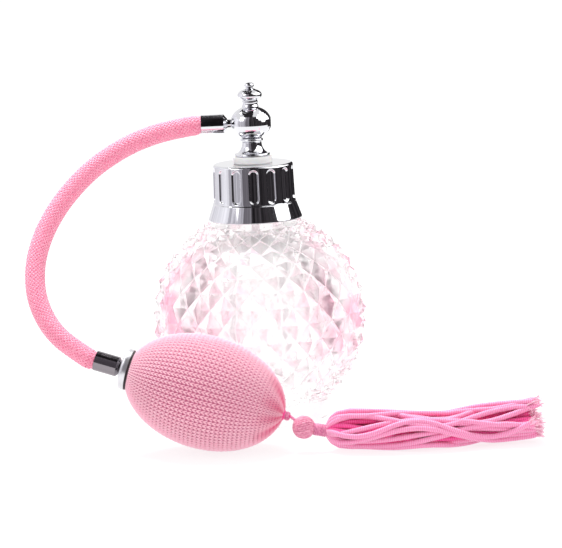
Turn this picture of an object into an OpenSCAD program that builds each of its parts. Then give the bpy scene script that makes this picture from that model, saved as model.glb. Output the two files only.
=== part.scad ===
// Perfume atomiser: a cut-glass bottle with a screw collar, a swivelling spray head, a braided air hose,
// a knitted squeeze bulb and a tassel. The origin is the middle of the bottle's flat base, +Z is up, and
// the hose leaves the head towards -X. The bulb lies on the table in front of the bottle, towards -Y.

/* [Bottle] */
// Diameter of the round body over the tips of its cut pyramids
body_d = 75; // [66:0.5:88]
// Height of the smooth foot, up to where it meets the round of the body
foot_h = 6.4; // [5:0.1:9]
// Depth of the cuts, from the tips of the pyramids to their valleys
cut_depth = 2.4; // [1.6:0.1:2.8]
// Pyramids in one ring
cut_count = 22; // [18:1:26]
// Diameter of the smooth foot
foot_d = 46; // [40:0.5:52]
// Thickness of the glass from the valleys to the cavity
glass_wall = 5.6; // [3:0.1:7]
// Outer diameter of the neck at the root of its thread
neck_d = 20; // [18.5:0.1:21]
// Bore of the neck
neck_bore_d = 15; // [13:0.1:16]

/* [Thread] */
// Rise of the collar in one turn
thread_pitch = 3; // [2.6:0.1:3.4]
// Height of the thread over the neck
thread_depth = 1; // [0.7:0.05:1.1]
// Turns of thread on the neck
thread_turns = 1.5; // [1:0.25:1.75]

/* [Collar] */
// How far the collar's skirt flares out past the barrel on each side
skirt_flare = 2.15; // [1.5:0.05:4]
// Height of the flared skirt
skirt_h = 6.5; // [5:0.1:8]
// Wall of the threaded liner inside the collar
liner_wall = 1.4; // [1:0.1:2.5]
// Height of the fluted barrel
barrel_h = 12.9; // [11.5:0.1:15]
// Wall of the collar's shell
shell_wall = 1.2; // [1:0.05:1.5]
// Flutes around the barrel
flute_count = 14; // [10:1:16]
// Depth of a flute
flute_depth = 0.7; // [0.3:0.05:0.8]

/* [Head] */
// Width of the round head
ball_d = 14.4; // [13:0.1:17]
// Height of the round head before its ends are faced
ball_h = 11.8; // [11:0.1:14]
// Thickness of the white swivel washer
washer_t = 2.5; // [1.5:0.1:3.5]
// Diameter of the white swivel washer
washer_d = 13.7; // [12.6:0.1:16]
// Diameter of the bell-shaped base
bell_d = 12.2; // [10.5:0.1:13]
// Diameter of the stem that passes through the collar
stem_d = 8; // [7:0.1:9]
// Outer diameter of the dip tube
dip_d = 3.4; // [3:0.1:4]

/* [Hose] */
// Outer diameter of the braided hose
hose_d = 6.9; // [6:0.1:8]
// Bore of the hose
hose_bore_d = 3.2; // [3:0.05:3.6]
// Thickness of the braided sleeve
braid_t = 0.8; // [0.5:0.05:1]
// Length of each ferrule
ferrule_l = 9.2; // [8:0.1:11]

/* [Bulb] */
// Length of the knitted bulb, as if its collar end weren't cut off
bulb_len = 55.8; // [50:0.1:64]
// Diameter of the knitted bulb
bulb_d = 38.2; // [34:0.1:42]
// Tilt of the bulb within the plane of the hose
bulb_tilt = 20; // [16:0.5:24]
// How far the bulb tucks in under the widest part of the bottle
bulb_tuck = 4.4; // [3:0.1:4.5]
// Thickness of the knitted cover
knit_t = 1.1; // [0.8:0.05:1.4]
// Thickness of the rubber bulb
rubber_t = 1.7; // [1.2:0.1:2.2]
// Travel of the check valve's ball
valve_travel = 1.1; // [0.8:0.05:1.2]

/* [Tassel] */
// Diameter of the tassel's round head
knot_d = 7.6; // [6.5:0.1:8.5]
// Length of the tassel's skirt of cords
skirt_len = 71; // [60:1:80]

/* [Hidden] */
$fn = 64;

chrome = [0.80, 0.80, 0.82];
white = [0.93, 0.93, 0.92];
pink = [0.95, 0.56, 0.70];

fit = 0.05;          // radial clearance between pieces that are pushed together
over = 1;            // how far a cutter runs past the face that it opens

// --- Bottle: heights of the body, the neck and the collar that screws down on it
body_r = body_d / 2;
foot_r = foot_d / 2;
body_z = foot_h + sqrt(pow(body_r, 2) - pow(foot_r, 2));
valley_r = body_r - cut_depth;
cavity_r = valley_r - glass_wall;
foot_chamfer = 0.8;
foot_top = foot_h + 1.2;
neck_r = neck_d / 2;
neck_bore_r = neck_bore_d / 2;
thread_gap = 0.3;    // radial clearance at the crests of the thread
barrel_taper = 0.3;  // how much narrower the barrel is at its top than at its foot
thread_r = neck_r + thread_depth + thread_gap;
liner_r = thread_r + liner_wall;
barrel_d = 2 * (liner_r + fit + shell_wall + barrel_taper);
skirt_d = barrel_d + 2 * skirt_flare;
skirt_gap = 0.7;
skirt_z = body_z + sqrt(pow(body_r, 2) - pow(skirt_d / 2, 2)) + skirt_gap;
barrel_z = skirt_z + skirt_h;
collar_top = barrel_z + barrel_h;
liner_top_t = 1.6;
nut_h = 2.4;
gasket_t = 1.6;
gasket_top = collar_top - shell_wall - liner_top_t - nut_h;
lip_z = gasket_top - gasket_t;

// Rows of cuts are spaced so that each pyramid keeps its shape as the rings narrow towards the poles. They
// run from inside the foot to inside the collar's skirt.
row_step = 9.45;     // degrees between rows at the equator
row_shift = 2.9;     // degrees by which row 0 stands above the equator
turn_start = -4.8;   // degrees by which the first valley stands round from -Y
function row_lat(k) = 2 * atan(exp((row_shift + k * row_step) * PI / 180)) - 90;
function row_at(lat) = (ln(tan((lat + 90) / 2)) * 180 / PI - row_shift) / row_step;
low_row = floor(row_at(-acos((foot_r - 4) / valley_r)));
high_row = ceil(row_at(acos((skirt_d / 2 - shell_wall) / valley_r)));

// --- Thread, drawn as a ridge that both the neck and the liner follow
ridge_root = 1.5;    // width of the ridge where it stands on the neck
ridge_crest = 0.7;
ridge_sink = 0.3;    // how far a ridge is sunk into its wall
thread_z = lip_z - 2.2 - thread_pitch * thread_turns;
thread_step = 15;    // degrees between sections
thread_start = 20;   // degrees round from +X at which the neck's ridge starts

// --- Head
port_z = collar_top + washer_t + 11.55;
ball_face = ball_h / 2 - 0.6;
bell_foot_z = collar_top + washer_t;
bell_neck_r = 3.4;
bell_h = 4.9;
spigot_r = 2.4;
spigot_h = 2;
stem_r = stem_d / 2;
stem_end = lip_z - 3;
dip_r = dip_d / 2;
dip_bore_r = dip_r - 0.6;
dip_top = stem_end + 8;
dip_foot = body_z - cavity_r + 2.5;
siphon_r = 0.9;
chamber_r = 1.3;
nipple_r = 1.45;
nipple_bore_r = 0.8;
jet_r = nipple_bore_r - fit;
nozzle_r = 1.8;
nozzle_in = 3.5;     // where the nozzle's seat starts, from the middle of the head
nozzle_out = ball_d / 2 - 0.25;
finial_neck_r = 2.7;
finial_spigot_r = 1.5;

// --- Hose: it lies in a plane that leans forwards from the vertical by hose_lean
hose_r = hose_d / 2;
hose_bore_r = hose_bore_d / 2;
core_r = hose_r - braid_t;
crimp = 0.5;         // how far the ferrules squeeze the hose
ferrule_wall = 0.4;
ferrule_r = hose_r - crimp + fit + ferrule_wall;
ferrule_cone = 1.4;
shank_r = hose_bore_r - fit * 2;
neck_gap = 0.9;      // bare neck of the nipple between the head and its ferrule
ferrule_x = ball_d / 2 + neck_gap;
hose_end_gap = 1.6;  // from a ferrule's closed end to the end of the hose

bulb_a = bulb_len / 2;
bulb_b = bulb_d / 2;
bulb_reach = body_r + bulb_b - bulb_tuck;
function rest_z(lean) = let (dip = sin(bulb_tilt) * cos(lean))
    norm([bulb_a * dip, bulb_b * sqrt(1 - pow(dip, 2))]);
function lean_for(z) = atan2(bulb_reach, port_z - z);
hose_lean = lean_for(rest_z(lean_for(rest_z(lean_for(bulb_b)))));
bulb_z = rest_z(hose_lean);
bulb_drop = (port_z - bulb_z) / cos(hose_lean);

// Stations along the bulb's own axis, from its middle: negative is towards the hose
clamp_t = 0.7;
collar_t = 2.4;
collar_r = 7.05;
collar_s = -bulb_a * sqrt(1 - pow((collar_r + 0.22) / bulb_b, 2));
bulb_x = -43.75 - collar_s * cos(bulb_tilt);
ferrule_s = collar_s - clamp_t - collar_t - 0.4;
hub_r = 2.5;
plug_r = 4.35;
plug_end = collar_s + 4.3;
plug_face = collar_s - clamp_t - collar_t + 0.8;
rubber_neck_r = 5.6;
valve_r = 2;
ball_r = 1.6;
seat_bore_r = 1.1;
seat_t = 1.5;
ball_s = plug_end - seat_t - sqrt(pow(ball_r, 2) - pow(seat_bore_r, 2)) - fit;
chamber_end = ball_s - valve_travel - ball_r - fit;
intake_ring_r = 3.2;
intake_r = 0.45;
flap_t = 0.5;

// The hose's line in its own plane: x, and the distance down from the head
hose_line = [[-19.4, 0.2], [-22.5, 0.6], [-27, 1.4], [-31.5, 2.4], [-36, 3.8],
    [-40.5, 5.6], [-45, 7.9], [-49.5, 10.7], [-54, 14], [-58.3, 17.9], [-62.3, 22.3], [-66, 27.1],
    [-69.2, 32.2], [-71.9, 37.6], [-73.9, 43.2], [-75.2, 49], [-75.6, 55], [-75.1, 61], [-73.5, 66.8],
    [-70.9, 72.2], [-67.4, 76.9], [-63.2, 80.7]];
hose_line_drop = 85.6; // the drop to the lower ferrule's mouth that these points were chosen for
hose_sides = 12;

// --- Tassel, lying on the table
binding_l = 4.2;
binding_r = 2.1;
loop_r = 0.55;
neck_x = knot_d / 2 + binding_l - 0.4;
binding_dip = 12;    // degrees by which the binding dips from the knot towards the table

module hose_plane() translate([0, 0, port_z]) rotate([-hose_lean, 0, 0]) children();
module bulb_axis() hose_plane() translate([bulb_x, 0, -bulb_drop]) rotate([0, 90 + bulb_tilt, 0]) children();
module port_axis() translate([0, 0, port_z]) rotate([0, -90, 0]) children();
module ring(r_out, r_in, h) difference() {
    cylinder(r = r_out, h = h);
    translate([0, 0, -over]) cylinder(r = r_in, h = h + 2 * over);
}

// Points of an ellipse's right half, from its foot to its top
function half_ellipse(a, b, steps = 28) = [for (i = [0:steps]) let (t = -90 + 180 * i / steps) [a * cos(t), b * sin(t)]];
// Points of an arc about a centre
function arc(centre, r, from, to, steps = 8) =
    [for (i = [0:steps]) let (t = from + (to - from) * i / steps) centre + r * [cos(t), sin(t)]];

// --- Bottle
function cut_point(c, k) = let (
        lat = row_lat(k),
        turn = turn_start - 90 + c * 180 / cut_count,
        tip = (c + k) % 2 != 0 && k > low_row && k < high_row,
        r = tip ? body_r : valley_r)
    [r * cos(lat) * cos(turn), r * cos(lat) * sin(turn), r * sin(lat)];

module cut_body() {
    cols = 2 * cut_count;
    low = low_row;
    rows = high_row - low;
    points = concat([for (k = [0:rows], c = [0:cols - 1]) cut_point(c, k + low)],
        [[0, 0, valley_r * sin(row_lat(low))], [0, 0, valley_r * sin(row_lat(low + rows))]]);
    function at(c, k) = (c + cols) % cols + k * cols;
    below = len(points) - 2;
    above = len(points) - 1;
    faces = concat(
        [for (k = [0:rows], c = [0:cols - 1]) if ((c + k + low) % 2 != 0) each concat(
            k < rows ? [[at(c, k), at(c, k + 1), at(c + 1, k)], [at(c, k), at(c - 1, k), at(c, k + 1)]] : [],
            k > 0 ? [[at(c, k), at(c, k - 1), at(c - 1, k)], [at(c, k), at(c + 1, k), at(c, k - 1)]] : [])],
        [for (c = [0:cols - 1]) [below, at(c, 0), at(c + 1, 0)]],
        [for (c = [0:cols - 1]) [above, at(c + 1, rows), at(c, rows)]]);
    translate([0, 0, body_z]) polyhedron(points, faces);
}

// A helical ridge: profile points are [r, z], and the section climbs with the turn.
module thread(profile, turns, z, start) {
    n = len(profile);
    last = ceil(turns * 360 / thread_step);
    points = [for (i = [0:last], p = profile) let (t = start + i * thread_step)
        [p[0] * cos(t), p[0] * sin(t), z + p[1] + i * thread_step / 360 * thread_pitch]];
    sides = [for (i = [0:last - 1], j = [0:n - 1]) let (a = i * n, b = (j + 1) % n)
        each [[a + j, a + b, a + n + b], [a + j, a + n + b, a + n + j]]];
    polyhedron(points, concat([[for (j = [n - 1:-1:0]) j]], sides, [[for (j = [0:n - 1]) last * n + j]]));
}

module glass_bottle() color([1, 0.95, 0.97, 0.4]) difference() {
    union() {
        cut_body();
        rotate_extrude() polygon([[0, 0], [foot_r - foot_chamfer, 0], [foot_r, foot_chamfer],
            [foot_r, foot_top - 0.6], [foot_r - 0.6, foot_top], [0, foot_top]]);
        translate([0, 0, body_z]) cylinder(r = neck_r, h = lip_z - body_z);
        thread([[neck_r - ridge_sink, 0], [neck_r + thread_depth, (ridge_root - ridge_crest) / 2],
            [neck_r + thread_depth, (ridge_root + ridge_crest) / 2], [neck_r - ridge_sink, ridge_root]],
            thread_turns, thread_z, thread_start);
    }
    translate([0, 0, body_z]) sphere(r = cavity_r);
    translate([0, 0, body_z]) cylinder(r = neck_bore_r, h = lip_z - body_z + over);
}

// --- Seal and collar
module neck_gasket() color(white) translate([0, 0, lip_z]) ring(neck_r + 0.6, stem_r + fit, gasket_t);

// A round-ended cutter that stands beside the barrel and only just reaches into it. Its nose is as wide
// as it can be without touching the next cutter.
module flute() {
    spread = sin(180 / flute_count);
    nose = 0.93 * (barrel_d / 2 - flute_depth) * spread / (1 - spread);
    ends = [barrel_z + 1.2, collar_top - 2.9];
    translate([barrel_d / 2 - 0.1 + nose - flute_depth, 0, 0]) rotate_extrude()
        polygon(concat(arc([0, ends[0]], nose, -90, 0, 9), arc([0, ends[1]], nose, 0, 90, 9)));
}

module collar_shell() color(chrome) {
    top_r = barrel_d / 2 - barrel_taper;
    edge = 0.9;
    outside = concat([[skirt_d / 2 - shell_wall, skirt_z], [skirt_d / 2, skirt_z], [barrel_d / 2, barrel_z]],
        arc([top_r - edge, collar_top - edge], edge, 0, 90));
    inside = [[stem_r + 0.2, collar_top], [stem_r + 0.2, collar_top - shell_wall],
        [top_r - shell_wall, collar_top - shell_wall], [barrel_d / 2 - shell_wall, barrel_z]];
    difference() {
        rotate_extrude() polygon(concat(outside, inside));
        for (i = [0:flute_count - 1]) rotate([0, 0, -90 + i * 360 / flute_count]) flute();
    }
}

module collar_liner() color(white) {
    foot_z = barrel_z - 1.4;
    top_z = collar_top - shell_wall;
    gap = thread_pitch - ridge_root;
    ridge = gap - 0.7;
    difference() {
        translate([0, 0, foot_z]) cylinder(r = liner_r, h = top_z - foot_z);
        translate([0, 0, foot_z - over]) cylinder(r = thread_r, h = top_z - liner_top_t - foot_z + over);
        translate([0, 0, foot_z]) cylinder(r = stem_r + 0.2, h = barrel_h + over);
    }
    // The liner's ridge lies in the groove under the neck's ridge, with the same play above and below it.
    turn = 180;
    thread([[thread_r + ridge_sink, 0], [thread_r + ridge_sink, ridge], [thread_r - thread_depth, ridge - 0.2],
        [thread_r - thread_depth, 0.2]], 0.75,
        thread_z + turn / 360 * thread_pitch - (gap + ridge) / 2, thread_start + turn);
}

// --- Spray head
module swivel_washer() color(white) translate([0, 0, collar_top]) difference() {
    rotate_extrude() polygon(concat([[stem_r + fit, 0]],
        [for (p = arc([washer_d / 2 - 0.4, 0.4], 0.4, -90, 0, 4)) p],
        [for (p = arc([washer_d / 2 - 0.4, washer_t - 0.4], 0.4, 0, 90, 4)) p], [[stem_r + fit, washer_t]]));
}

module head_base() color(chrome) {
    r = bell_d / 2;
    z = bell_foot_z;
    neck_top = port_z - ball_face;
    flare = [for (i = [0:8]) let (t = i / 8) [r - (r - bell_neck_r) * sin(90 * t), z + 0.9 + (bell_h - 0.9) * (1 - cos(90 * t))]];
    difference() {
        rotate_extrude() polygon(concat(
            [[0, stem_end], [stem_r - 0.5, stem_end], [stem_r, stem_end + 0.5], [stem_r, z], [r - 0.4, z], [r, z + 0.4]],
            flare,
            arc([bell_neck_r - 0.1, (z + bell_h + neck_top) / 2], (neck_top - z - bell_h) / 2, -90, 90, 6),
            [[spigot_r, neck_top], [spigot_r, neck_top + spigot_h], [0, neck_top + spigot_h]]));
        translate([0, 0, stem_end - over]) cylinder(r = dip_r + fit, h = dip_top - stem_end + over);
        translate([0, 0, stem_end]) cylinder(r = siphon_r + fit, h = port_z - stem_end);
    }
}

module retaining_nut() color("silver") translate([0, 0, gasket_top]) difference() {
    cylinder(r = neck_r - 2.6, h = nut_h, $fn = 6);
    translate([0, 0, -over]) cylinder(r = stem_r + fit, h = nut_h + 2 * over);
}

module dip_tube() color([0.9, 0.92, 0.95]) difference() {
    translate([0, 0, dip_foot - dip_r]) cylinder(r = dip_r, h = dip_top - dip_foot + dip_r);
    translate([0, 0, dip_foot - dip_r - over]) cylinder(r = dip_bore_r, h = dip_top - dip_foot + dip_r + 2 * over);
    // The foot is cut at a slant, so that it can't seal itself against the glass.
    translate([0, 0, dip_foot]) rotate([0, 40, 0]) translate([-5, -5, -10]) cube([10, 10, 10]);
}

module siphon_tube() color("goldenrod") translate([0, 0, dip_top + 1])
    ring(siphon_r, 0.5, port_z - jet_r - 0.3 - dip_top - 1);

module head_ball() color(chrome) difference() {
    translate([0, 0, port_z]) rotate_extrude() intersection() {
        polygon(half_ellipse(ball_d / 2, ball_h / 2));
        translate([0, -ball_face]) square([ball_d, 2 * ball_face]);
    }
    translate([0, 0, port_z - ball_face - over]) cylinder(r = spigot_r + fit, h = spigot_h + over + 0.1);
    translate([0, 0, port_z - ball_face]) cylinder(r = siphon_r + fit, h = ball_face);
    translate([0, 0, port_z + 1.9]) cylinder(r = finial_spigot_r + fit, h = ball_h);
    port_axis() translate([0, 0, -ball_d]) cylinder(r = chamber_r, h = 2 * ball_d);
    port_axis() translate([0, 0, 3.2]) cylinder(r = nipple_r + fit, h = ball_d);
    port_axis() translate([0, 0, -ball_d - nozzle_in]) cylinder(r = nozzle_r + fit, h = ball_d);
}

module finial() color(chrome) {
    z = port_z + ball_face;
    bead_z = z + 4.3;
    knob_z = bead_z + 3.35;
    rotate_extrude() polygon(concat(
        [[0, z - 3.2], [finial_spigot_r - 0.3, z - 3.2], [finial_spigot_r, z - 2.9], [finial_spigot_r, z], [finial_neck_r + 0.2, z]],
        arc([finial_neck_r + 1.1, z + 1.3], 1.2, 220, 140, 6),
        [for (t = [-55:11:55]) [4.25 * cos(t), bead_z + 2.3 * sin(t)]],
        [[1.15, bead_z + 2.35]],
        [for (t = [-50:20:70]) [1.7 * cos(t), knob_z + 1.1 * sin(t)]],
        [[0, knob_z + 1.1]]));
}

module air_jet() color("goldenrod") port_axis() translate([0, 0, -2.6]) ring(jet_r, 0.35, 7.2);

module spray_nozzle() color(chrome) port_axis() difference() {
    translate([0, 0, -nozzle_out]) cylinder(r = nozzle_r, h = nozzle_out - nozzle_in);
    translate([0, 0, -nozzle_out - over]) cylinder(r = 0.4, h = ball_d);
    translate([0, 0, -nozzle_in - 1.6]) cylinder(r1 = 0.4, r2 = 1.2, h = 1.61);
    translate([0, 0, -nozzle_out - 0.01]) cylinder(r1 = 0.8, r2 = 0.4, h = 0.5);
}

module hose_nipple() color(chrome) port_axis() difference() {
    union() {
        translate([0, 0, 3.3]) cylinder(r = nipple_r, h = ferrule_x - 3.3);
        translate([0, 0, ferrule_x]) cylinder(r = shank_r, h = ferrule_l - 2);
    }
    translate([0, 0, 3]) cylinder(r = nipple_bore_r, h = ferrule_x + ferrule_l);
}

// --- Hose
// A ferrule stands on its closed end and opens along +Z.
module ferrule() difference() {
    rotate_extrude() polygon([[shank_r + 0.2, 0], [ferrule_r, ferrule_cone], [ferrule_r, ferrule_l],
        [ferrule_r - ferrule_wall, ferrule_l], [ferrule_r - ferrule_wall, ferrule_cone],
        [shank_r + fit, ferrule_cone], [shank_r + fit, 0]]);
}

module upper_ferrule() color(chrome) port_axis() translate([0, 0, ferrule_x]) ferrule();
module lower_ferrule() color([0.45, 0.42, 0.45]) bulb_axis() translate([0, 0, ferrule_s]) mirror([0, 0, 1]) ferrule();

// The line starts and ends in the ferrules, where the hose is squeezed and runs straight.
function along_bulb(s) = [bulb_x + s * cos(bulb_tilt), bulb_drop + s * sin(bulb_tilt)];
mouth_s = ferrule_s - ferrule_l;
hose_scale = along_bulb(mouth_s)[1] / hose_line_drop;
hose_path = concat([[-ferrule_x - hose_end_gap, 0], [-ferrule_x - ferrule_l, 0]],
    [for (p = hose_line) [p[0], p[1] * hose_scale]],
    [for (s = [mouth_s - 2.4, mouth_s, ferrule_s - hose_end_gap]) along_bulb(s)]);
function squeeze(i) = min(i, len(hose_path) - 1 - i) < 2 ? crimp : 0;

// A tube swept along the hose's line between two radii, each of which may be squeezed at the ends.
module swept_tube(r_out, r_in, squeeze_out, squeeze_in) {
    n = len(hose_path);
    function heading(i) = let (d = hose_path[min(i + 1, n - 1)] - hose_path[max(i - 1, 0)]) d / norm(d);
    function skin(i, j, r) = let (p = hose_path[i], h = heading(i), t = j * 360 / hose_sides)
        [p[0] - r * cos(t) * h[1], r * sin(t), -p[1] - r * cos(t) * h[0]];
    rings = [for (i = [0:n - 1], side = [0, 1], j = [0:hose_sides - 1])
        skin(i, j, side == 0 ? r_out - squeeze_out * squeeze(i) : r_in - squeeze_in * squeeze(i))];
    function at(i, side, j) = (i * 2 + side) * hose_sides + j % hose_sides;
    walls = [for (i = [0:n - 2], j = [0:hose_sides - 1]) each [
        [at(i, 0, j), at(i + 1, 0, j), at(i + 1, 0, j + 1)], [at(i, 0, j), at(i + 1, 0, j + 1), at(i, 0, j + 1)],
        [at(i, 1, j), at(i + 1, 1, j + 1), at(i + 1, 1, j)], [at(i, 1, j), at(i, 1, j + 1), at(i + 1, 1, j + 1)]]];
    ends = [for (j = [0:hose_sides - 1]) each [
        [at(0, 0, j), at(0, 0, j + 1), at(0, 1, j + 1)], [at(0, 0, j), at(0, 1, j + 1), at(0, 1, j)],
        [at(n - 1, 0, j), at(n - 1, 1, j + 1), at(n - 1, 0, j + 1)], [at(n - 1, 0, j), at(n - 1, 1, j), at(n - 1, 1, j + 1)]]];
    hose_plane() polyhedron(rings, concat(walls, ends));
}

module hose_tube() color([0.9, 0.85, 0.85]) swept_tube(core_r, hose_bore_r, 1, 0);
module hose_braid() color(pink) swept_tube(hose_r, core_r, 1, 1);

// --- Bulb: everything here stands on the bulb's own axis
module egg(inset) rotate_extrude() polygon(half_ellipse(bulb_b - inset, bulb_a - inset));

module knit_cover() color(pink) bulb_axis() difference() {
    egg(0);
    egg(knit_t);
    translate([0, 0, collar_s - 20]) cylinder(r = collar_r + over, h = 20);
    translate([0, 0, collar_s - 20]) cylinder(r = rubber_neck_r + fit, h = 24);
}

module rubber_bulb() color([0.85, 0.75, 0.78]) bulb_axis() difference() {
    union() {
        egg(knit_t + 2 * fit);
        translate([0, 0, plug_face]) cylinder(r = rubber_neck_r, h = 8);
    }
    difference() {
        egg(knit_t + 2 * fit + rubber_t);
        translate([0, 0, plug_face]) cylinder(r = rubber_neck_r, h = 8);
    }
    translate([0, 0, plug_face - over]) cylinder(r = plug_r + fit, h = 8 + 2 * over);
    translate([0, 0, plug_face - 20]) cylinder(r = 10, h = 20);
}

module clamp_ring() color([0.15, 0.12, 0.13]) bulb_axis() translate([0, 0, collar_s - clamp_t])
    ring(collar_r - 0.35, rubber_neck_r + fit, clamp_t);

module bulb_collar() color([0.86, 0.86, 0.88]) bulb_axis() translate([0, 0, collar_s - clamp_t - collar_t]) difference() {
    rotate_extrude() polygon(concat([[0, 0]], arc([collar_r - 1.2, 1.2], 1.2, -90, 0, 6),
        [[collar_r, collar_t], [0, collar_t]]));
    translate([0, 0, -over]) cylinder(r = hub_r + fit, h = collar_t + 2 * over);
    translate([0, 0, plug_face - collar_s + clamp_t + collar_t]) cylinder(r = rubber_neck_r + fit, h = collar_t);
    for (i = [0:3]) rotate([0, 0, 45 + 90 * i]) translate([intake_ring_r, 0, -over])
        cylinder(r = intake_r, h = collar_t + 2 * over, $fn = 24);
}

module valve_housing() color(chrome) bulb_axis() difference() {
    union() {
        translate([0, 0, plug_face]) cylinder(r = plug_r, h = plug_end - plug_face);
        translate([0, 0, ferrule_s]) cylinder(r = hub_r, h = plug_face - ferrule_s);
        translate([0, 0, ferrule_s - ferrule_l + 2]) cylinder(r = shank_r, h = ferrule_l - 2);
    }
    translate([0, 0, ferrule_s - ferrule_l]) cylinder(r = nipple_bore_r, h = 30);
    translate([0, 0, chamber_end]) cylinder(r = valve_r + fit, h = 20);
    // Slots let the air past the ball when it is against this end.
    for (turn = [0, 90]) rotate([0, 0, turn]) translate([-valve_r, -0.4, chamber_end - 0.5]) cube([2 * valve_r, 0.8, 1]);
    for (i = [0:3]) rotate([0, 0, 45 + 90 * i]) translate([intake_ring_r, 0, plug_face - over])
        cylinder(r = intake_r, h = 20, $fn = 24);
}

module valve_seat() color("goldenrod") bulb_axis() difference() {
    union() {
        translate([0, 0, plug_end - seat_t]) cylinder(r = valve_r, h = seat_t + flap_t);
        translate([0, 0, plug_end + flap_t]) cylinder(r = valve_r + 0.6, h = 0.5);
    }
    translate([0, 0, plug_end - seat_t - over]) cylinder(r = seat_bore_r, h = 6);
}

module intake_flap() color([0.3, 0.3, 0.3]) bulb_axis() translate([0, 0, plug_end]) ring(plug_r - 0.1, valve_r + fit, flap_t);

module valve_ball() color("silver") bulb_axis() translate([0, 0, ball_s]) sphere(r = ball_r);

// --- Tassel
tail_s = bulb_a - 0.2;
function on_bulb(s) = let (t = bulb_tilt)
    [bulb_x + s * cos(t), -(bulb_drop + s * sin(t)) * sin(hose_lean), port_z - (bulb_drop + s * sin(t)) * cos(hose_lean)];

// The knot hangs on its loop just past the tail.
loop_start = on_bulb(tail_s + 2.5);
knot_at = [loop_start[0] + 3.95, loop_start[1] - 3.6, 8.4];

module gather_tie() color([0.9, 0.2, 0.45]) bulb_axis() translate([0, 0, tail_s]) rotate_extrude()
    polygon(concat([[0, 0.25]], arc([0.9, 1.1], 0.85, -90, 90, 8), [[0, 1.95]]));

module rod(from, to, r) {
    d = to - from;
    translate(from) rotate([0, acos(d[2] / norm(d)), atan2(d[1], d[0])]) cylinder(r = r, h = norm(d));
}

module tassel_loop() color(pink) {
    aim = knot_at - loop_start;
    rod(loop_start, knot_at - aim / norm(aim) * (knot_d / 2 + fit), loop_r);
}

module tassel_knot() color(pink) translate(knot_at) sphere(r = knot_d / 2);

module tassel_binding() color(pink) translate(knot_at) difference() {
    rotate([0, 90 + binding_dip, 0]) cylinder(r = binding_r, h = neck_x);
    sphere(r = knot_d / 2 + fit);
}

// Oval sections of the skirt, which lies on the table: distance along it, half width and height
skirt_sections = [[6, 6.4, 10.8], [16, 7.8, 11.2], [40, 8.2, 10.8], [71, 10, 11]];
module skirt_section(p) translate([knot_at[0] + neck_x + (p[0] - 0.6) * skirt_len / 71, knot_at[1], p[2] / 2])
    scale([1, p[1], p[2] / 2]) rotate([0, 90, 0]) cylinder(r = 1, h = 0.2, $fn = 32);

module tassel_skirt() color([0.95, 0.42, 0.62]) {
    hull() {
        translate(knot_at) rotate([0, 90 + binding_dip, 0]) translate([0, 0, neck_x + fit])
            cylinder(r = binding_r + 1.2, h = 0.2, $fn = 32);
        skirt_section(skirt_sections[0]);
    }
    for (i = [1:len(skirt_sections) - 1]) hull() {
        skirt_section(skirt_sections[i - 1]);
        skirt_section(skirt_sections[i]);
    }
}

glass_bottle();
neck_gasket();
collar_shell();
collar_liner();
swivel_washer();
head_base();
retaining_nut();
dip_tube();
siphon_tube();
head_ball();
finial();
air_jet();
spray_nozzle();
hose_nipple();
upper_ferrule();
hose_tube();
hose_braid();
lower_ferrule();
valve_housing();
valve_seat();
intake_flap();
valve_ball();
bulb_collar();
clamp_ring();
rubber_bulb();
knit_cover();
gather_tie();
tassel_loop();
tassel_knot();
tassel_binding();
tassel_skirt();
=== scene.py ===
"""A cut-glass perfume bottle with a fluted collar, a spray head, a braided hose, a knitted bulb and a tassel.

Sizes are in millimetres in the row frame, and become metres when a piece is placed.
"""

import math

import bmesh
import bpy
import numpy as np
from mathutils import Matrix, Vector


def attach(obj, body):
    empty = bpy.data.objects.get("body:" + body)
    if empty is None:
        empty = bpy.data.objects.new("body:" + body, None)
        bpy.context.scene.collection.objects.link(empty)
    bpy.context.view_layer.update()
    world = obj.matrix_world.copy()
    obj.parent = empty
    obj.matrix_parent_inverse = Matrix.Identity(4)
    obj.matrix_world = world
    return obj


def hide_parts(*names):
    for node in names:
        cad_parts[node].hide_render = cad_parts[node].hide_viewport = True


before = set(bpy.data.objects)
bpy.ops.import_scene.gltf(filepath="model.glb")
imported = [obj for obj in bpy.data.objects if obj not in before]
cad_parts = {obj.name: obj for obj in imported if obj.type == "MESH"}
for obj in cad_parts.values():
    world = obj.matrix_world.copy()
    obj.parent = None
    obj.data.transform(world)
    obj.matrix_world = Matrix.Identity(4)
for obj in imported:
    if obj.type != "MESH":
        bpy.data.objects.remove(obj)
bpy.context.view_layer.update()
MM = 0.001

# --- Sizes in millimetres, worked out the way the part's source does
BODY_R, CUT_DEPTH, FOOT_R, FOOT_H = 37.5, 2.4, 23.0, 6.4
CUTS, LOW_ROW, HIGH_ROW, ROW_STEP, ROW_SHIFT, TURN_START = 22, -8, 9, 9.45, 2.9, -4.8
CAVITY_R, NECK_R, NECK_BORE_R = 29.5, 10.0, 7.5
SKIRT_R, SKIRT_H, SKIRT_GAP = 16.4, 6.5, 0.7
BARREL_R, BARREL_H, LIP_DROP, STEM_REACH = 14.25, 12.9, 6.8, 3.0
WASHER_T, PORT_RISE, BALL_R, BALL_HALF, NECK_GAP = 2.5, 11.55, 7.2, 5.9, 0.9
BULB_MOUTH_R, BULB_COLLAR_X, BULB_TUCK = 7.27, -43.75, 4.4
BODY_Z = FOOT_H + math.sqrt(BODY_R**2 - FOOT_R**2)
SKIRT_Z = BODY_Z + math.sqrt(BODY_R**2 - SKIRT_R**2) + SKIRT_GAP
COLLAR_TOP = SKIRT_Z + SKIRT_H + BARREL_H
LIP_Z = COLLAR_TOP - LIP_DROP
STEM_END = LIP_Z - STEM_REACH
PORT_Z = COLLAR_TOP + WASHER_T + PORT_RISE
BULB_A, BULB_B, BULB_TILT = 27.9, 19.1, math.radians(20)
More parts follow.
